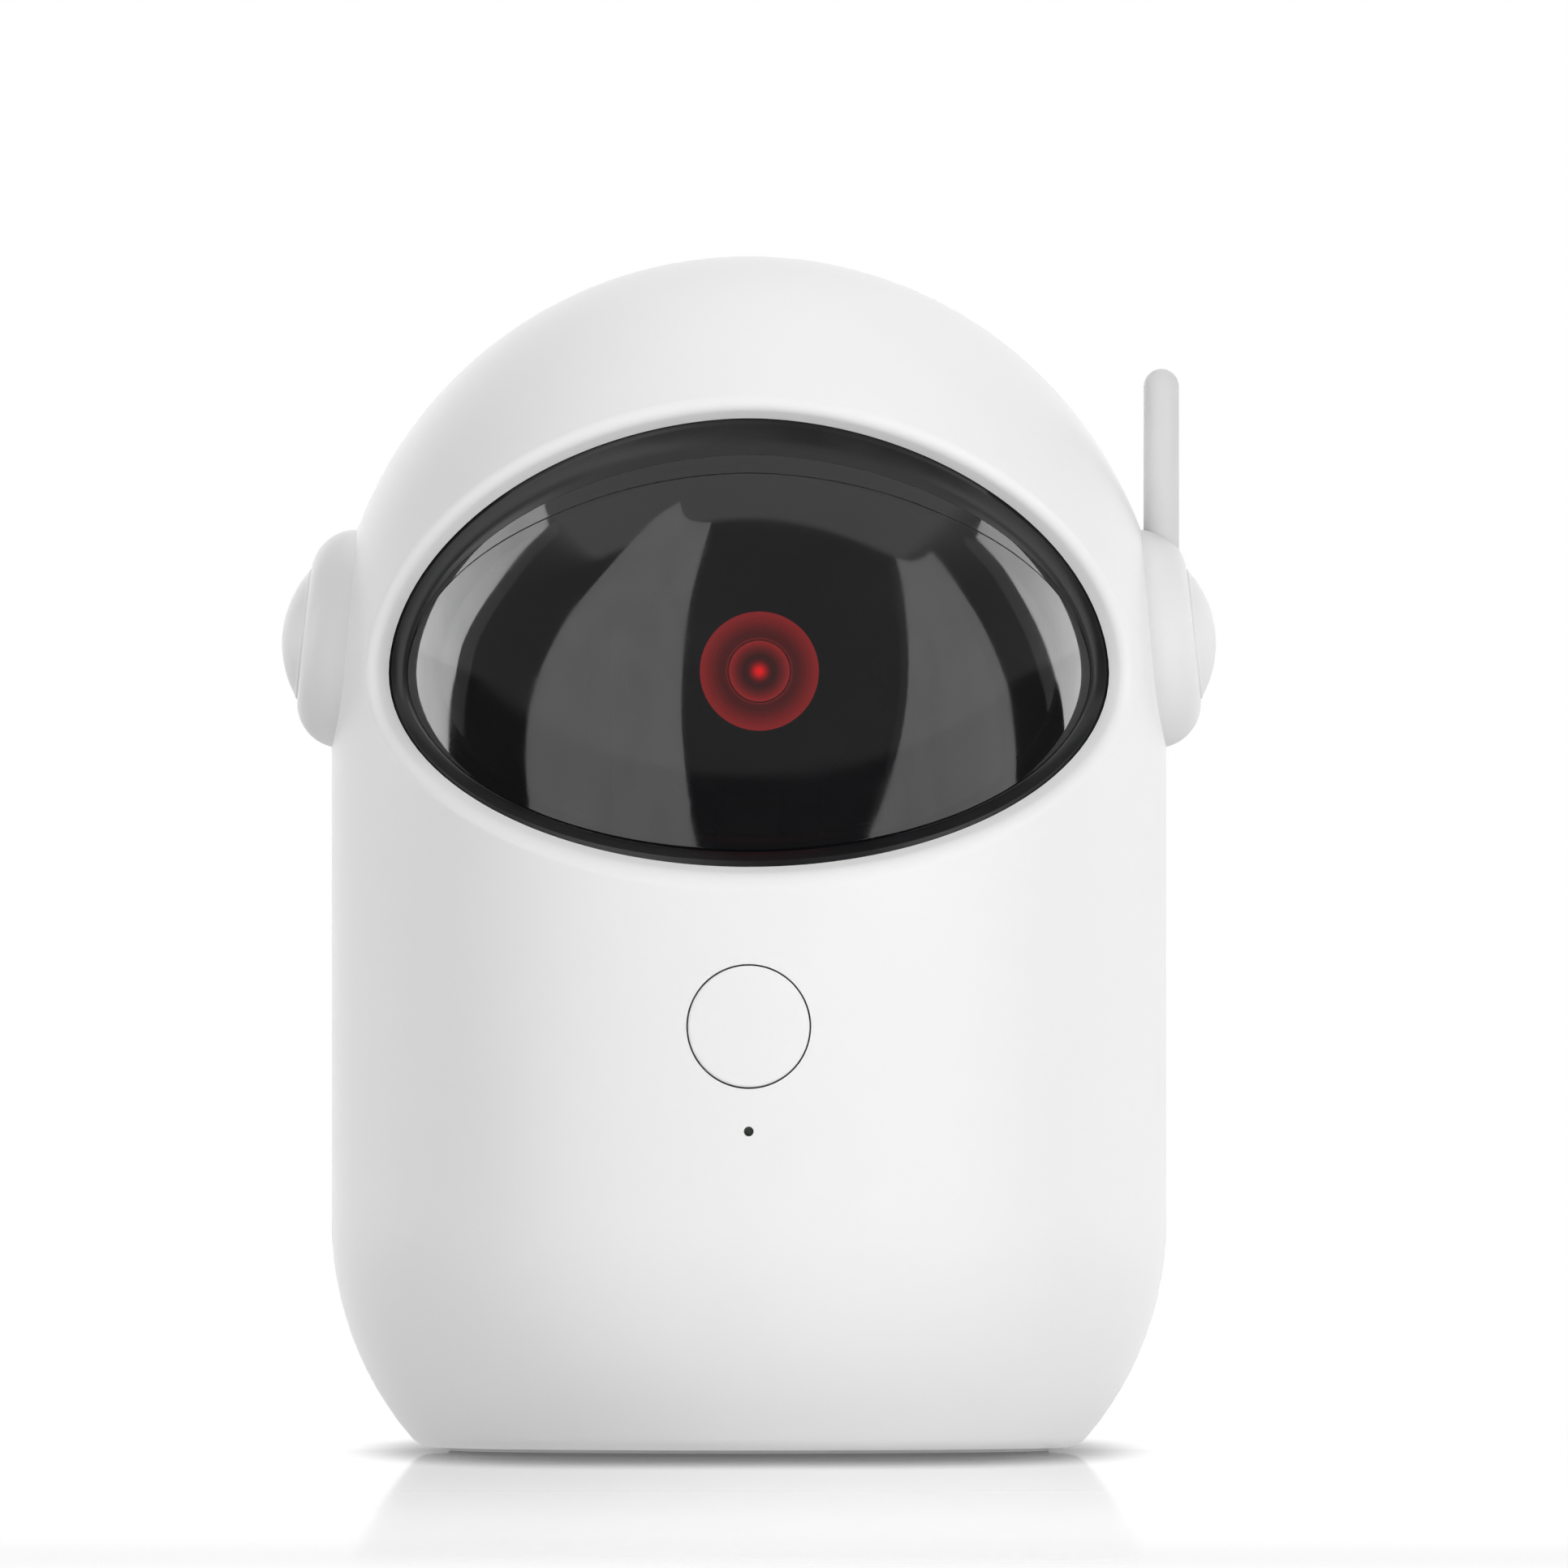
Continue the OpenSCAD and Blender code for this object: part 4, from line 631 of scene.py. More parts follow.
def power_button():
    """The button's face is a patch of the body's own cylinder, with a softly broken edge."""
    edge = 0.22 * MM
    flange_y, flange_r, flange_t = -37.06 * MM, 6.9 * MM, 0.8 * MM

    def face_y(depth):
        return lambda x: -math.sqrt(BODY_R ** 2 - x ** 2) + depth

    rings = [circle_points(0, BUTTON_Z, (BUTTON_R - edge) * k / 14, face_y(0), 96) for k in range(15)]
    for k in range(1, 6):
        f = math.pi / 2 * k / 5
        rings.append(circle_points(
            0, BUTTON_Z, BUTTON_R - edge * (1 - math.sin(f)), face_y(edge * (1 - math.cos(f))), 96))
    stem_r, stem_y = 1.7 * MM, -35.76 * MM
    for r, y in (
        (BUTTON_R, flange_y), (flange_r, flange_y), (flange_r, flange_y + flange_t),
        (stem_r, flange_y + flange_t), (stem_r, stem_y), (0, stem_y),
    ):
        rings.append(circle_points(0, BUTTON_Z, r, y, 96))
    piece = drawn("button_cap", rings, shut=False)
    smoothed(piece, 50)
    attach(piece, "button")
    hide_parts("power_button")
    return piece


def foot_ring():
    outer, inner, top = 28.82 * MM, 26.82 * MM, 1 * MM
    edge = 0.3 * MM
    profile = [(inner, top), (outer, top), (outer, edge)]
    profile += arc(outer - edge, edge, edge, 0, -90, 5)[1:]
    profile += arc(inner + edge, edge, edge, -90, -180, 5)
    profile += [(inner, top)]
    piece = turned("foot_pad", profile, (0, 0, 0), (0, 0, 1), 128)
    smoothed(piece, 40)
    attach(piece, "housing")
    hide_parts("foot_ring")
    return piece


# ------------------------------------------------------------------ laser head

LENS_X, LENS_Z = 1 * MM, 74.7 * MM


def lens_ring():
    outer, inner, front, back = 5.7 * MM, 3.05 * MM, 12.2 * MM, 9.44 * MM
    edge = 0.4 * MM
    profile = [(inner, back), (outer, back), (outer, front - edge)]
    profile += arc(outer - edge, front - edge, edge, 0, 90, 6)[1:]
    profile += [(outer - 1.0 * MM, front - 0.12 * MM), (outer - 1.25 * MM, front - 0.45 * MM)]
    profile += [(inner + 0.35 * MM, front - 0.6 * MM), (inner, front - 0.9 * MM), (inner, back)]
    piece = turned("lens_surround", profile, (LENS_X, 0, LENS_Z), (0, -1, 0), 96, (1, 0, 0))
    smoothed(piece, 40)
    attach(piece, "laser_head")
    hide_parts("lens_ring")
    return piece


def laser_lens():
    r, front, back = 2.9 * MM, 11.6 * MM, 11.02 * MM
    profile = [(0, back), (r, back), (r, front - 0.32 * MM)]
    profile += [(r * math.cos(f), front - 0.32 * MM + 0.32 * MM * math.sin(f))
                for f in [math.pi / 2 * k / 8 for k in range(1, 8)]]
    profile += [(0, front)]
    piece = turned("lens_dome", profile, (LENS_X, 0, LENS_Z), (0, -1, 0), 64, (1, 0, 0))
    smoothed(piece, 50)
    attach(piece, "laser_head")
    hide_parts("laser_lens")
    return piece


# ------------------------------------------------------------------ materials

class Wire:
    """A value in a material. Sums on it add Math nodes."""

    def __init__(self, paint, socket):
        self.paint = paint
        self.socket = socket

    def sum(self, operation, *values):
        return self.paint.node("ShaderNodeMath", {"operation": operation}, *values)[0]

    def __add__(self, other):
        return self.sum("ADD", self, other)

    __radd__ = __add__

    def __sub__(self, other):
        return self.sum("SUBTRACT", self, other)

    def __rsub__(self, other):
        return self.sum("SUBTRACT", other, self)

    def __mul__(self, other):
        return self.sum("MULTIPLY", self, other)

    __rmul__ = __mul__

    def __truediv__(self, other):
        return self.sum("DIVIDE", self, other)

    def __gt__(self, other):
        return self.sum("GREATER_THAN", self, other)

    def __lt__(self, other):
        return self.sum("LESS_THAN", self, other)


class Paint:
    """A material or a world, and one way to add a node to it."""

    def __init__(self, holder):
        self.holder = holder
        holder.use_nodes = True
        self.tree = holder.node_tree
        self.tree.nodes.clear()

    def node(self, kind, settings=None, *values, **named):
        new = self.tree.nodes.new(kind)
        for key, value in (settings or {}).items():
            if key == "stops":
                ramp = new.color_ramp.elements
                while len(ramp) > 2:
                    ramp.remove(ramp[-1])
                for index, (place, colour) in enumerate(value):
                    stop = ramp[index] if index < 2 else ramp.new(place)
                    stop.position = place
                    stop.color = colour if len(colour) == 4 else (*colour, 1)
            else:
                setattr(new, key, value)
        inputs = [i for i in new.inputs if i.enabled]
        pairs = list(zip(inputs, values))
        pairs += [(next(i for i in inputs if i.name == key.replace("_", " ")), value)
                  for key, value in named.items()]
        for socket, value in pairs:
            if isinstance(value, Wire):
                self.tree.links.new(value.socket, socket)
            elif value is not None:
                if socket.type == "RGBA" and len(value) == 3:
                    value = (*value, 1)
                socket.default_value = value
        return [Wire(self, o) for o in new.outputs if o.enabled]

    def place(self):
        return self.tree_coordinate("Object")

    def axes(self):
        return self.node("ShaderNodeSeparateXYZ", None, self.place())

    def tree_coordinate(self, name):
        new = self.tree.nodes.new("ShaderNodeTexCoord")
        return Wire(self, new.outputs[name])

    def noise(self, scale, detail=2.0, rough=0.5, where=None):
        return self.node("ShaderNodeTexNoise", {"noise_dimensions": "3D"},
                         Vector=where or self.place(), Scale=scale, Detail=detail, Roughness=rough)[0]

    def cells(self, feature, size):
        """Cells of about the given size in metres."""
        return self.node("ShaderNodeTexVoronoi", {"feature": feature}, Vector=self.place(), Scale=1 / size)[0]

    def ramp(self, value, *stops):
        return self.node("ShaderNodeValToRGB", {"stops": stops}, value)[0]

    def mix(self, factor, first, second):
        return self.node("ShaderNodeMix", {"data_type": "RGBA"}, Factor=factor, A=first, B=second)[0]

    def between(self, value, low, high, bottom=0.0, top=1.0):
        """A value's range low to high, eased over to bottom to top."""
        return self.node("ShaderNodeMapRange", {"interpolation_type": "SMOOTHSTEP"},
                         value, low, high, bottom, top)[0]

    def bump(self, height, depth, strength=1.0, under=None):
        named = {"Height": height, "Distance": depth, "Strength": strength}
        if under:
            named["Normal"] = under
        return self.node("ShaderNodeBump", None, **named)[0]

    def surface(self, **named):
        shader = self.node("ShaderNodeBsdfPrincipled", None, **named)[0]
        self.node("ShaderNodeOutputMaterial", None, Surface=shader)
        return self.holder


def material(name):
    return Paint(bpy.data.materials.new(name))


def tinted(colour, factor):
    return tuple(min(max(part * factor, 0), 1) for part in colour)


def moulded(name, colour, roughness=0.4, texture=0.012, size=0.35, variation=0.03, shine=0.5):
    """Moulded plastic: a fine texture, a faint waviness, and a gloss that isn't quite even."""
    paint = material(name)
    fine = paint.noise(1 / (size * MM), 3, 0.6)
    broad = paint.noise(1 / (14 * MM), 2)
    specks = paint.noise(1 / (0.12 * MM), 1)
    tone = paint.ramp(broad * 0.7 + specks * 0.3,
                      (0.3, tinted(colour, 1 - variation)), (0.7, tinted(colour, 1 + variation / 2)))
    gloss = paint.between(fine * 0.6 + broad * 0.4, 0.3, 0.7, roughness - 0.05, roughness + 0.05)
    waves = paint.bump(broad, 0.02 * MM)
    grain = paint.bump(fine, texture * MM, 1.0, waves)
    return paint.surface(Base_Color=tone, Roughness=gloss, Normal=grain, Specular_IOR_Level=shine)


def metal(name, colour, roughness=0.3, axis=None, lines=0.2):
    """Metal with fine tool marks across an axis, and small dull patches."""
    paint = material(name)
    where = paint.place()
    if axis is not None:
        stretch = [1.0, 1.0, 1.0]
        stretch[axis] = 12.0
        where = paint.node("ShaderNodeMapping", None, where, (0, 0, 0), (0, 0, 0), stretch)[0]
    marks = paint.noise(1 / (lines * MM), 3, 0.7, where)
    patches = paint.noise(1 / (2.5 * MM), 3)
    tone = paint.ramp(marks * 0.5 + patches * 0.5, (0.25, tinted(colour, 0.82)), (0.75, tinted(colour, 1.06)))
    gloss = paint.between(patches * 0.5 + marks * 0.5, 0.25, 0.75, roughness - 0.09, roughness + 0.12)
    return paint.surface(Base_Color=tone, Metallic=1.0, Roughness=gloss, Normal=paint.bump(marks, 0.006 * MM))


def smoke_glass():
    """Near-black gloss plastic that lets a little through, with faint wiping marks."""
    paint = material("visor_smoke")
    wipes = paint.noise(1 / (9 * MM), 4, 0.55)
    dust = paint.noise(1 / (0.4 * MM), 2)
    gloss = paint.between(wipes * 0.7 + dust * 0.3, 0.35, 0.7, 0.035, 0.085)
    tone = paint.ramp(wipes, (0.3, (0.004, 0.004, 0.005)), (0.7, (0.007, 0.007, 0.008)))
    return paint.surface(Base_Color=tone, Roughness=gloss, IOR=1.5, Alpha=0.76)


def bezel_gloss():
    paint = material("bezel_black")
    fine = paint.noise(1 / (0.25 * MM), 2)
    broad = paint.noise(1 / (8 * MM), 2)
    tone = paint.ramp(broad, (0.3, (0.008, 0.008, 0.009)), (0.7, (0.014, 0.014, 0.015)))
    gloss = paint.between(fine * 0.4 + broad * 0.6, 0.3, 0.7, 0.3, 0.4)
    return paint.surface(Base_Color=tone, Roughness=gloss, Normal=paint.bump(fine, 0.004 * MM),
                         Specular_IOR_Level=0.25)


def from_lens_axis(paint):
    """Distance from the axis of the laser's lens, at rest."""
    x, _, z = paint.axes()
    dx, dz = x - LENS_X, z - LENS_Z
    return (dx * dx + dz * dz).sum("SQRT", dx * dx + dz * dz)


GLOW_REACH = 6 * MM
GLOW = 13


def glowing_lens():
    """Bright where the diode shows, then dark, then brighter again towards its rim."""
    paint = material("lens_red")
    r = from_lens_axis(paint)
    speck = paint.noise(1 / (0.5 * MM), 2)
    tone = paint.ramp(speck, (0.3, (0.2, 0.01, 0.012)), (0.7, (0.26, 0.014, 0.016)))
    glow = paint.ramp(
        r / GLOW_REACH,
        (0.0, (1, 0.004, 0.008)), (0.05, (0.75, 0.005, 0.009)), (0.105, (0.33, 0.003, 0.004)),
        (0.155, (0.105, 0.002, 0.002)), (0.21, (0.036, 0.002, 0.002)), (0.26, (0.038, 0.003, 0.002)),
        (0.36, (0.12, 0.006, 0.006)), (0.415, (0.19, 0.009, 0.009)), (0.475, (0.29, 0.012, 0.013)))
    return paint.surface(Base_Color=tone, Roughness=paint.between(speck, 0.3, 0.7, 0.1, 0.2),
                         Emission_Color=glow, Emission_Strength=GLOW)


def glowing_ring():
    """A red diffuser that grows brighter from the lens out to its rim."""
    paint = material("ring_red")
    r = from_lens_axis(paint)
    grain = paint.noise(1 / (0.35 * MM), 2)
    tone = paint.ramp(grain, (0.3, (0.1, 0.012, 0.013)), (0.7, (0.13, 0.016, 0.017)))
    glow = paint.ramp(
        r / GLOW_REACH,
        (0.5, (0.2, 0.008, 0.008)), (0.545, (0.066, 0.003, 0.003)), (0.62, (0.07, 0.003, 0.003)),
        (0.73, (0.123, 0.005, 0.005)), (0.83, (0.19, 0.008, 0.008)), (0.9, (0.24, 0.011, 0.011)),
        (0.95, (0.25, 0.011, 0.013)))
    return paint.surface(Base_Color=tone, Roughness=paint.between(grain, 0.3, 0.7, 0.3, 0.42),
                         Emission_Color=glow, Emission_Strength=GLOW, Normal=paint.bump(grain, 0.01 * MM))


def circuit_board():
    """Green solder mask over copper runs, with small bright pads."""
    paint = material("board_green")
    runs = paint.between(paint.cells("DISTANCE_TO_EDGE", 2.2 * MM), 0.06, 0.09, 1.0, 0.0)
    pads = paint.between(paint.cells("F1", 2.6 * MM), 0.1, 0.14, 1.0, 0.0)
    grain = paint.noise(1 / (0.3 * MM), 2)
    mask = paint.mix(runs, (0.012, 0.11, 0.045), (0.03, 0.2, 0.07))
    tone = paint.mix(pads, mask, (0.72, 0.6, 0.34))
    gloss = paint.between(grain, 0.3, 0.7, 0.3, 0.42)
    return paint.surface(Base_Color=tone, Roughness=gloss, Normal=paint.bump(runs + pads * 0.6, 0.03 * MM))


def soft_foam():
    paint = material("foam_grey")
    pores = paint.cells("F1", 0.5 * MM)
    tone = paint.ramp(pores, (0.1, (0.05, 0.05, 0.055)), (0.7, (0.13, 0.13, 0.135)))
    return paint.surface(Base_Color=tone, Roughness=0.95, Normal=paint.bump(pores, 0.15 * MM))


def wrapped_cell():
    """The cell's shrink sleeve, with faint wrinkles towards its ends."""
    paint = material("cell_blue")
    x = paint.axes()[0]
    ends = paint.between(x.sum("ABSOLUTE", x), 21 * MM, 25 * MM)
    wrinkles = paint.noise(1 / (0.9 * MM), 2)
    film = paint.noise(1 / (6 * MM), 2)
    tone = paint.mix(film, (0.02, 0.1, 0.42), (0.03, 0.14, 0.5))
    tone = paint.mix(paint.between(x.sum("ABSOLUTE", x), 24.6 * MM, 24.9 * MM), tone, (0.6, 0.6, 0.62))
    return paint.surface(Base_Color=tone, Roughness=paint.between(film, 0.3, 0.7, 0.25, 0.4),
                         Normal=paint.bump(wrinkles * ends, 0.08 * MM))


# Moulded plastics: colour, roughness, depth and size of the texture in mm, variation and shine
MOULDED = {
    "shell_white": ((0.86, 0.86, 0.86), 0.5, 0.006, 0.4, 0.012, 0.16),
    "button_white": ((0.86, 0.86, 0.86), 0.5, 0.008, 0.35, 0.012, 0.16),
    "base_white": ((0.8, 0.8, 0.8), 0.55, 0.02, 0.3, 0.03),
    "ear_grey": ((0.79, 0.79, 0.79), 0.5, 0.008, 0.35, 0.015, 0.2),
    "antenna_grey": ((0.64, 0.64, 0.64), 0.5, 0.008, 0.35, 0.015, 0.2),
    "ear_cap_grey": ((0.79, 0.79, 0.79), 0.5, 0.008, 0.3, 0.02, 0.2),
    "black_plastic": ((0.02, 0.02, 0.022), 0.5, 0.02, 0.25, 0.2),
    "gear_white": ((0.82, 0.81, 0.78), 0.35, 0.008, 0.3, 0.03),
    "connector_ivory": ((0.78, 0.72, 0.58), 0.45, 0.015, 0.25, 0.04),
    "chip_black": ((0.025, 0.025, 0.027), 0.6, 0.015, 0.12, 0.2),
    "part_tan": ((0.5, 0.36, 0.2), 0.5, 0.01, 0.2, 0.12),
    "led_clear": ((0.75, 0.85, 0.76), 0.15, 0.004, 0.4, 0.02),
    "lead_red": ((0.55, 0.02, 0.02), 0.42, 0.01, 0.2, 0.08),
    "lead_black": ((0.02, 0.02, 0.02), 0.42, 0.01, 0.2, 0.15),
    "foot_rubber": ((0.62, 0.62, 0.62), 0.85, 0.03, 0.18, 0.05),
}

# Metals: colour, roughness, axis of the tool marks, and their width in mm
METALS = {
    "motor_steel": ((0.62, 0.62, 0.63), 0.32, 2),
    "screw_steel": ((0.66, 0.65, 0.63), 0.34, None, 0.12),
    "brass": ((0.78, 0.57, 0.27), 0.3, 1, 0.15),
}

OTHERS = {
    "visor_smoke": smoke_glass,
    "bezel_black": bezel_gloss,
    "lens_red": glowing_lens,
    "ring_red": glowing_ring,
    "board_green": circuit_board,
    "foam_grey": soft_foam,
    "cell_blue": wrapped_cell,
}


def dress(pieces):
    """Gives each new piece and each CAD node the finish that its slot names."""
    made = {name: moulded(name, *values) for name, values in MOULDED.items()}
    made |= {name: metal(name, *values) for name, values in METALS.items()}
    made |= {name: make() for name, make in OTHERS.items()}
    for piece, slot_name in pieces:
        piece.data.materials.clear()
        piece.data.materials.append(made[slot_name])
    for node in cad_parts.values():
        for place in node.material_slots:
            plain = place.material.name.split(".")[0]
            place.material = made[plain]


# ------------------------------------------------------------------ studio

EYE = Vector((3.36 * MM, -6, 63.9 * MM))


def camera():
    """A long lens, level, at the height of the picture's middle."""
    lens = bpy.data.cameras.new("camera")
    lens.sensor_width = 36
    lens.lens = lens.sensor_width * -EYE.y / 0.15035
    lens.clip_end = 20
    eye = bpy.data.objects.new("camera", lens)
    bpy.context.scene.collection.objects.link(eye)
    eye.location = EYE
    eye.rotation_euler = (math.pi / 2, 0, 0)
    bpy.context.scene.camera = eye


def softbox(name, azimuth, elevation, distance, size, light_level):
    """A square soft lamp that lights a surface facing it to light_level, where 1 renders a colour as
    written. The azimuth runs from the camera's side to the right."""
    az, el = math.radians(azimuth), math.radians(elevation)
    away = Vector((math.sin(az) * math.cos(el), -math.cos(az) * math.cos(el), math.sin(el)))
    lamp = bpy.data.lights.new(name, "AREA")
    lamp.size = size
    lamp.energy = light_level * math.pi ** 2 * distance ** 2
    holder = bpy.data.objects.new(name, lamp)
    bpy.context.scene.collection.objects.link(holder)
    holder.location = CENTRE + away * distance
    holder.rotation_euler = away.to_track_quat("Z", "Y").to_euler()
    holder.visible_camera = holder.visible_glossy = False


def mirrored(u, w):
    """Follows a line of sight to the visor and on from there.

    u and w are millimetres right of the middle and above the ground, at the depth of the dome's centre."""
    sight = (Vector((u, 0, w)) * MM - EYE).normalized()
    near, away = -41 * MM, -6 * MM
    for _ in range(24):
        y = (near + away) / 2
        p = EYE + sight * ((y - EYE.y) / sight.y)
        d = p - CENTRE
        if d.length > lens_reach(d.normalized(), VISOR_R):
            near = y
        else:
            away = y
    if d.z < 0:
        d += Vector((d.x, d.y, 0)).normalized() * LENS_BOW
    d.normalize()
    return p, sight - d * 2 * sight.dot(d)


def along(chain, f):
    """A point on a smooth curve through the chain's points."""
    spot = f * (len(chain) - 1)
    k = min(int(spot), len(chain) - 2)
    f = spot - k
    a, b = Vector(chain[k]), Vector(chain[k + 1])
    before = Vector(chain[k - 1]) if k else a * 2 - b
    after = Vector(chain[k + 2]) if k + 2 < len(chain) else b * 2 - a
    return (a * 2 + (b - before) * f + (before * 2 - a * 5 + b * 4 - after) * f ** 2
            + (a * 3 - before - b * 3 + after) * f ** 3) / 2


# How far the cards stand from the visor and how far their last row goes down, in metres, and where the
# floor begins in what the visor mirrors, as a rise for each metre of depth
CARD_DISTANCE = 1.4
CARD_DROP = 1
FLOOR_LINE = 0.145


def card(name, left, right, top, levels):
    """A pale card, seen only in gloss, where its picture in the visor has the given edges.

    The levels are its brightness low down and high up. It stands beyond the floor that the camera sees,
    and its last row goes well below the floor, so that its lower end doesn't show in the visor."""
    deselect()
    bpy.ops.mesh.primitive_grid_add(x_subdivisions=10, y_subdivisions=40, size=2)
    sheet = bpy.context.object
    sheet.name = name
    for vert in sheet.data.vertices:
        f, down = (vert.co.x + 1) / 2, (1 - vert.co.y) / 2
        spot = along(left, down) * (1 - f) + along(right, down) * f
        spot += (along(top, f) - along(left, 0) * (1 - f) - along(right, 0) * f) * (1 - down)
        p, away = mirrored(*spot)
        vert.co = p + away * CARD_DISTANCE
        if down > 0.999:
            vert.co.z -= CARD_DROP
    paint = material(name + "_white")
    _, y, z = paint.axes()
    rise = paint.node("ShaderNodeValToRGB", {"stops": [
        (0.5 + height, (level / 12,) * 3) for height, level in levels]}, z * 0.47 + 0.54)[0]
    below = 1 - (z - DOME_Z < y * FLOOR_LINE) * 0.12
    blotch = paint.between(paint.noise(4.0, 2), 0.3, 0.7, 0.95, 1.05)
    glow = paint.node("ShaderNodeEmission", None, rise, below * blotch * 12)[0]
    paint.node("ShaderNodeOutputMaterial", None, glow)
    sheet.data.materials.append(paint.holder)
    sheet.visible_camera = sheet.visible_diffuse = sheet.visible_shadow = False


def lamps_and_cards():
    """The lamps light the shell's shades. The cards make the pale shapes that the visor mirrors."""
    softbox("front_lamp", -33, 30, 0.9, 0.4, 0.385)
    softbox("right_lamp", 43, 15, 0.9, 0.4, 0.55)
    softbox("rear_right_lamp", 144, 10, 0.9, 0.35, 0.33)
    softbox("rear_left_lamp", -150, 10, 0.9, 0.35, 0.66)
    softbox("top_lamp", 180, 65, 0.9, 0.5, 0.42)
    card("left_card",
         [(-6.6, 91), (-9, 89.4), (-12, 86.3), (-14.8, 83.1), (-17.1, 80.3), (-19, 77), (-20.4, 73.7),
          (-21.2, 70), (-21.4, 66.3), (-21.2, 63), (-20.5, 58.5)],
         [(-3.6, 89), (-4.5, 85.9), (-5.5, 82.1), (-6.1, 78.4), (-6.4, 74.7), (-6.5, 70.9), (-6.3, 67.2),
          (-5.9, 63.5), (-5.4, 59.7), (-4.6, 56.2)],
         [(-6.6, 91), (-6.3, 89.8), (-5.6, 89.2), (-4.5, 89), (-3.6, 89)],
         [(-0.3, 2.9), (0.4, 2.9)])
    card("right_card",
         [(14.1, 85.6), (14.7, 83.1), (15.1, 79.8), (15.3, 76.5), (15.2, 72.8), (14.8, 69.5), (14.2, 66.7),
          (13.4, 63.9), (12.4, 61.1), (10.6, 57)],
         [(17.5, 86.2), (18.8, 84.7), (20.7, 81.9), (22.3, 79.3), (23.7, 76.3), (24.8, 73.3), (25.3, 70),
          (25.6, 66.7), (25.5, 63.5), (25, 59)],
         [(14.1, 85.6), (14.8, 85.4), (15.8, 85.3), (16.7, 85.6), (17.5, 86.2)],
         [(-0.3, 3.0), (0.4, 3.0)])
    card("left_edge_card",
         [(-19.9, 91.5), (-23.2, 89.6), (-26.7, 86.5), (-29.5, 83.5), (-31.7, 80.2), (-32.9, 77.2),
          (-33.2, 74.7), (-33.1, 72.2), (-32.4, 69.5), (-31.2, 67.3), (-29.6, 65.4)],
         [(-19.2, 88.7), (-21.8, 86.1), (-24.1, 83.1), (-26, 80.3), (-27.4, 77.5), (-28.1, 74.7),
          (-28.6, 71.9), (-28.8, 69.1), (-28.8, 65.9)],
         [(-19.9, 91.5), (-19.2, 88.7)],
         [(-0.1, 9), (0.4, 6)])
    card("right_edge_card",
         [(21.8, 87.5), (24.2, 84.9), (26, 82.1), (27.7, 78.9), (28.8, 76.1), (29.8, 72.8), (30.2, 70),
          (30.4, 66)],
         [(22.6, 89.9), (25.4, 87.8), (28.4, 85), (30.5, 82.2), (32.2, 79.2), (33.2, 76.2), (33.5, 73.7),
          (33.1, 71.1), (32.2, 68.5), (31.1, 66)],
         [(21.8, 87.5), (22.6, 89.9)],
         [(-0.1, 9), (0.4, 6)])


def room():
    """White behind the object, dim in front and paler overhead in gloss, and a low even light."""
    world = Paint(bpy.data.worlds.new("room"))
    bpy.context.scene.world = world.holder
    x, y, z = world.node("ShaderNodeSeparateXYZ", None, world.tree_coordinate("Generated"))
    spread = world.between(x * x, 0.44, 0.8, 0.03, 0.5)
    overhead = world.between((z + x * x * 0.47 - 0.72) / spread, 0, 1, 0.42, 1.45)
    floor_level = world.between(z - y * FLOOR_LINE, -0.01, 0.01, 0.2, 1)
    behind = world.between(y, 0.55, 0.68)
    front = overhead * floor_level
    mirrored_room = front + behind * (1 - front)
    path = world.tree.nodes.new("ShaderNodeLightPath")
    camera_ray = Wire(world, path.outputs["Is Camera Ray"])
    glossy = Wire(world, path.outputs["Is Glossy Ray"])
    through = Wire(world, path.outputs["Is Transmission Ray"])
    ambient = 0.12
    shown = camera_ray + through * (1 - camera_ray)
    shown = shown + glossy * mirrored_room * (1 - shown)
    rest = (1 - camera_ray) * (1 - glossy) * (1 - through)
    light = world.node("ShaderNodeBackground", None, (1, 1, 1), shown + rest * ambient)[0]
    world.node("ShaderNodeOutputWorld", None, light)


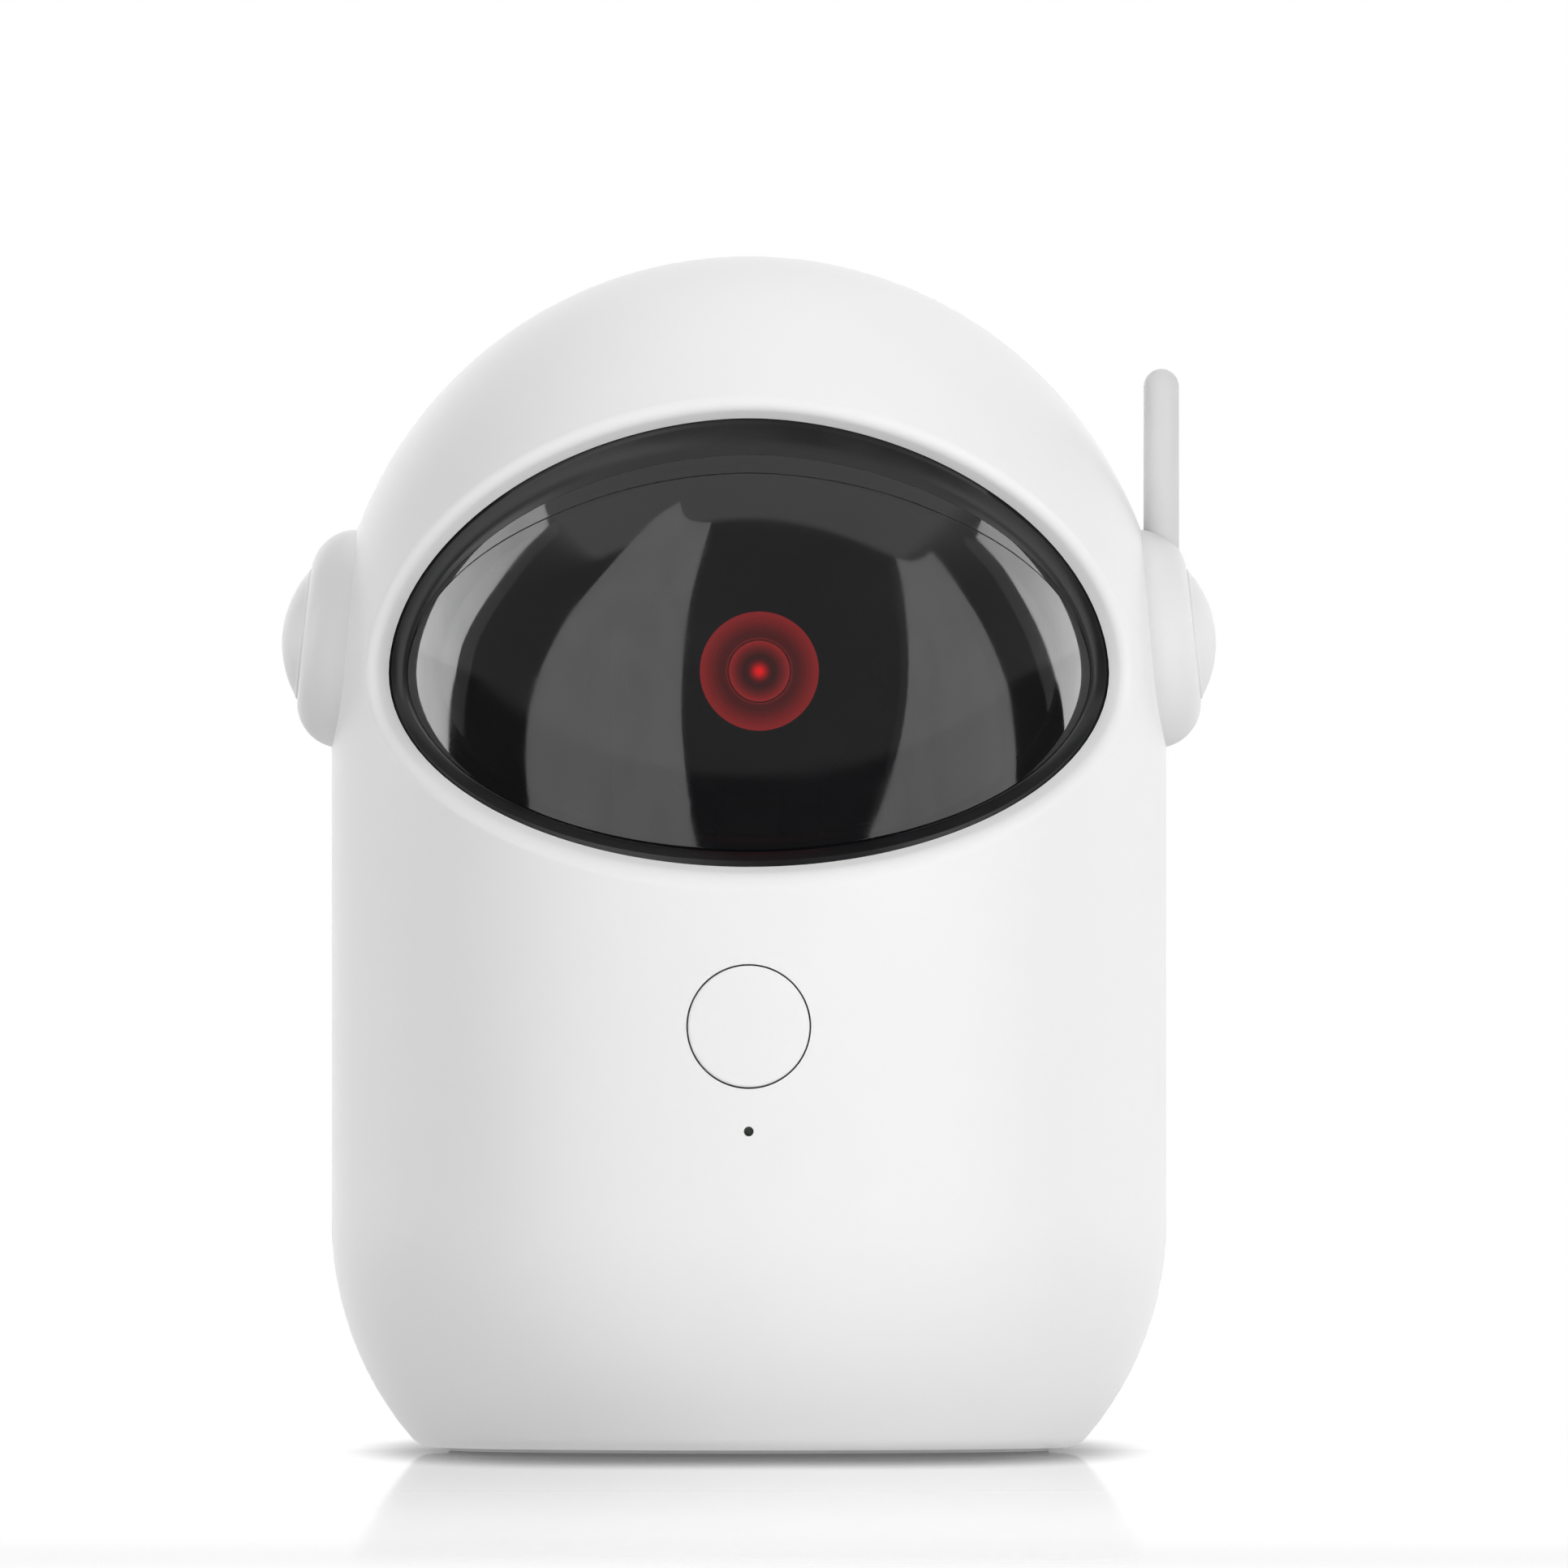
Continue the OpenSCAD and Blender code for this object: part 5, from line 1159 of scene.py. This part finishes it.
def ground():
    """A wide white floor that keeps the lamps' shadow and a faint reflection, strongest near the foot, and
    carries a painted contact shadow round the foot.

    It fades out where it would end in the picture, and light that bounces off it is dimmer than it looks."""
    deselect()
    bpy.ops.mesh.primitive_plane_add(size=4)
    floor = bpy.context.object
    floor.name = "floor"
    paint = material("floor_white")
    soft = paint.noise(3.0, 2)
    tone = paint.ramp(soft, (0.3, (0.39, 0.39, 0.39)), (0.7, (0.41, 0.41, 0.41)))
    matt = paint.node("ShaderNodeBsdfDiffuse", None, tone)[0]

    def lifted(level):
        glow = paint.node("ShaderNodeEmission", None, (1, 1, 1), level)[0]
        return paint.node("ShaderNodeAddShader", None, matt, glow)[0]

    def blend(factor, first, second):
        return paint.node("ShaderNodeMixShader", None, factor, first, second)[0]

    lit, bounce = lifted(0.64), lifted(0.33)
    mirror = paint.node("ShaderNodeBsdfAnisotropic", None, (1, 1, 1), 0.03)[0]
    # A near-black matt shader: the colour of the painted contact shadow.
    dark = paint.node("ShaderNodeBsdfDiffuse", None, (0.05, 0.05, 0.05))[0]
    clear = paint.node("ShaderNodeBsdfTransparent")[0]
    x, y, _ = paint.axes()
    out = (x * x + y * y).sum("SQRT", x * x + y * y)
    # The painted contact shadow's shape: a patch under the foot, 38 mm to each side and stretched 170 mm
    # front and back.
    across = x * x / (38 * MM) ** 2
    under = across * across + y * y / (170 * MM) ** 2
    ahead = y + 350 * MM
    away = x * x + ahead * ahead
    face = blend(paint.between(out, 0.05, 1.2, 0.66, 0.0), lit, mirror)
    # Mixes in the painted contact shadow, up to 78 % of the near-black shader right under the foot.
    face = blend(paint.between(under, 0.1, 1.15, 0.78, 0.0), face, dark)
    path = paint.tree.nodes.new("ShaderNodeLightPath")
    whole = blend(Wire(paint, path.outputs["Is Camera Ray"]), bounce, face)
    whole = blend(paint.between(away, 0.16, 0.36), whole, clear)
    paint.node("ShaderNodeOutputMaterial", None, whole)
    floor.data.materials.append(paint.holder)
    floor.visible_glossy = False


# ------------------------------------------------------------------ the object

camera()
dress([
    (front_shell(), "shell_white"),
    (rear_shell(), "shell_white"),
    (visor(), "visor_smoke"),
    (bezel(), "bezel_black"),
    (ear_pod(-1, "left_ear_shell", "left_ear_pod"), "ear_grey"),
    (ear_pod(1, "right_ear_shell", "right_ear_pod"), "ear_grey"),
    (ear_cap(-1, "left_ear_dome", "left_ear_cap"), "ear_cap_grey"),
    (ear_cap(1, "right_ear_dome", "right_ear_cap"), "ear_cap_grey"),
    (antenna(), "antenna_grey"),
    (power_button(), "button_white"),
    (foot_ring(), "foot_rubber"),
    (lens_ring(), "ring_red"),
    (laser_lens(), "lens_red"),
])
lamps_and_cards()
room()
ground()

bpy.context.scene.view_settings.view_transform = "Standard"
deselect()
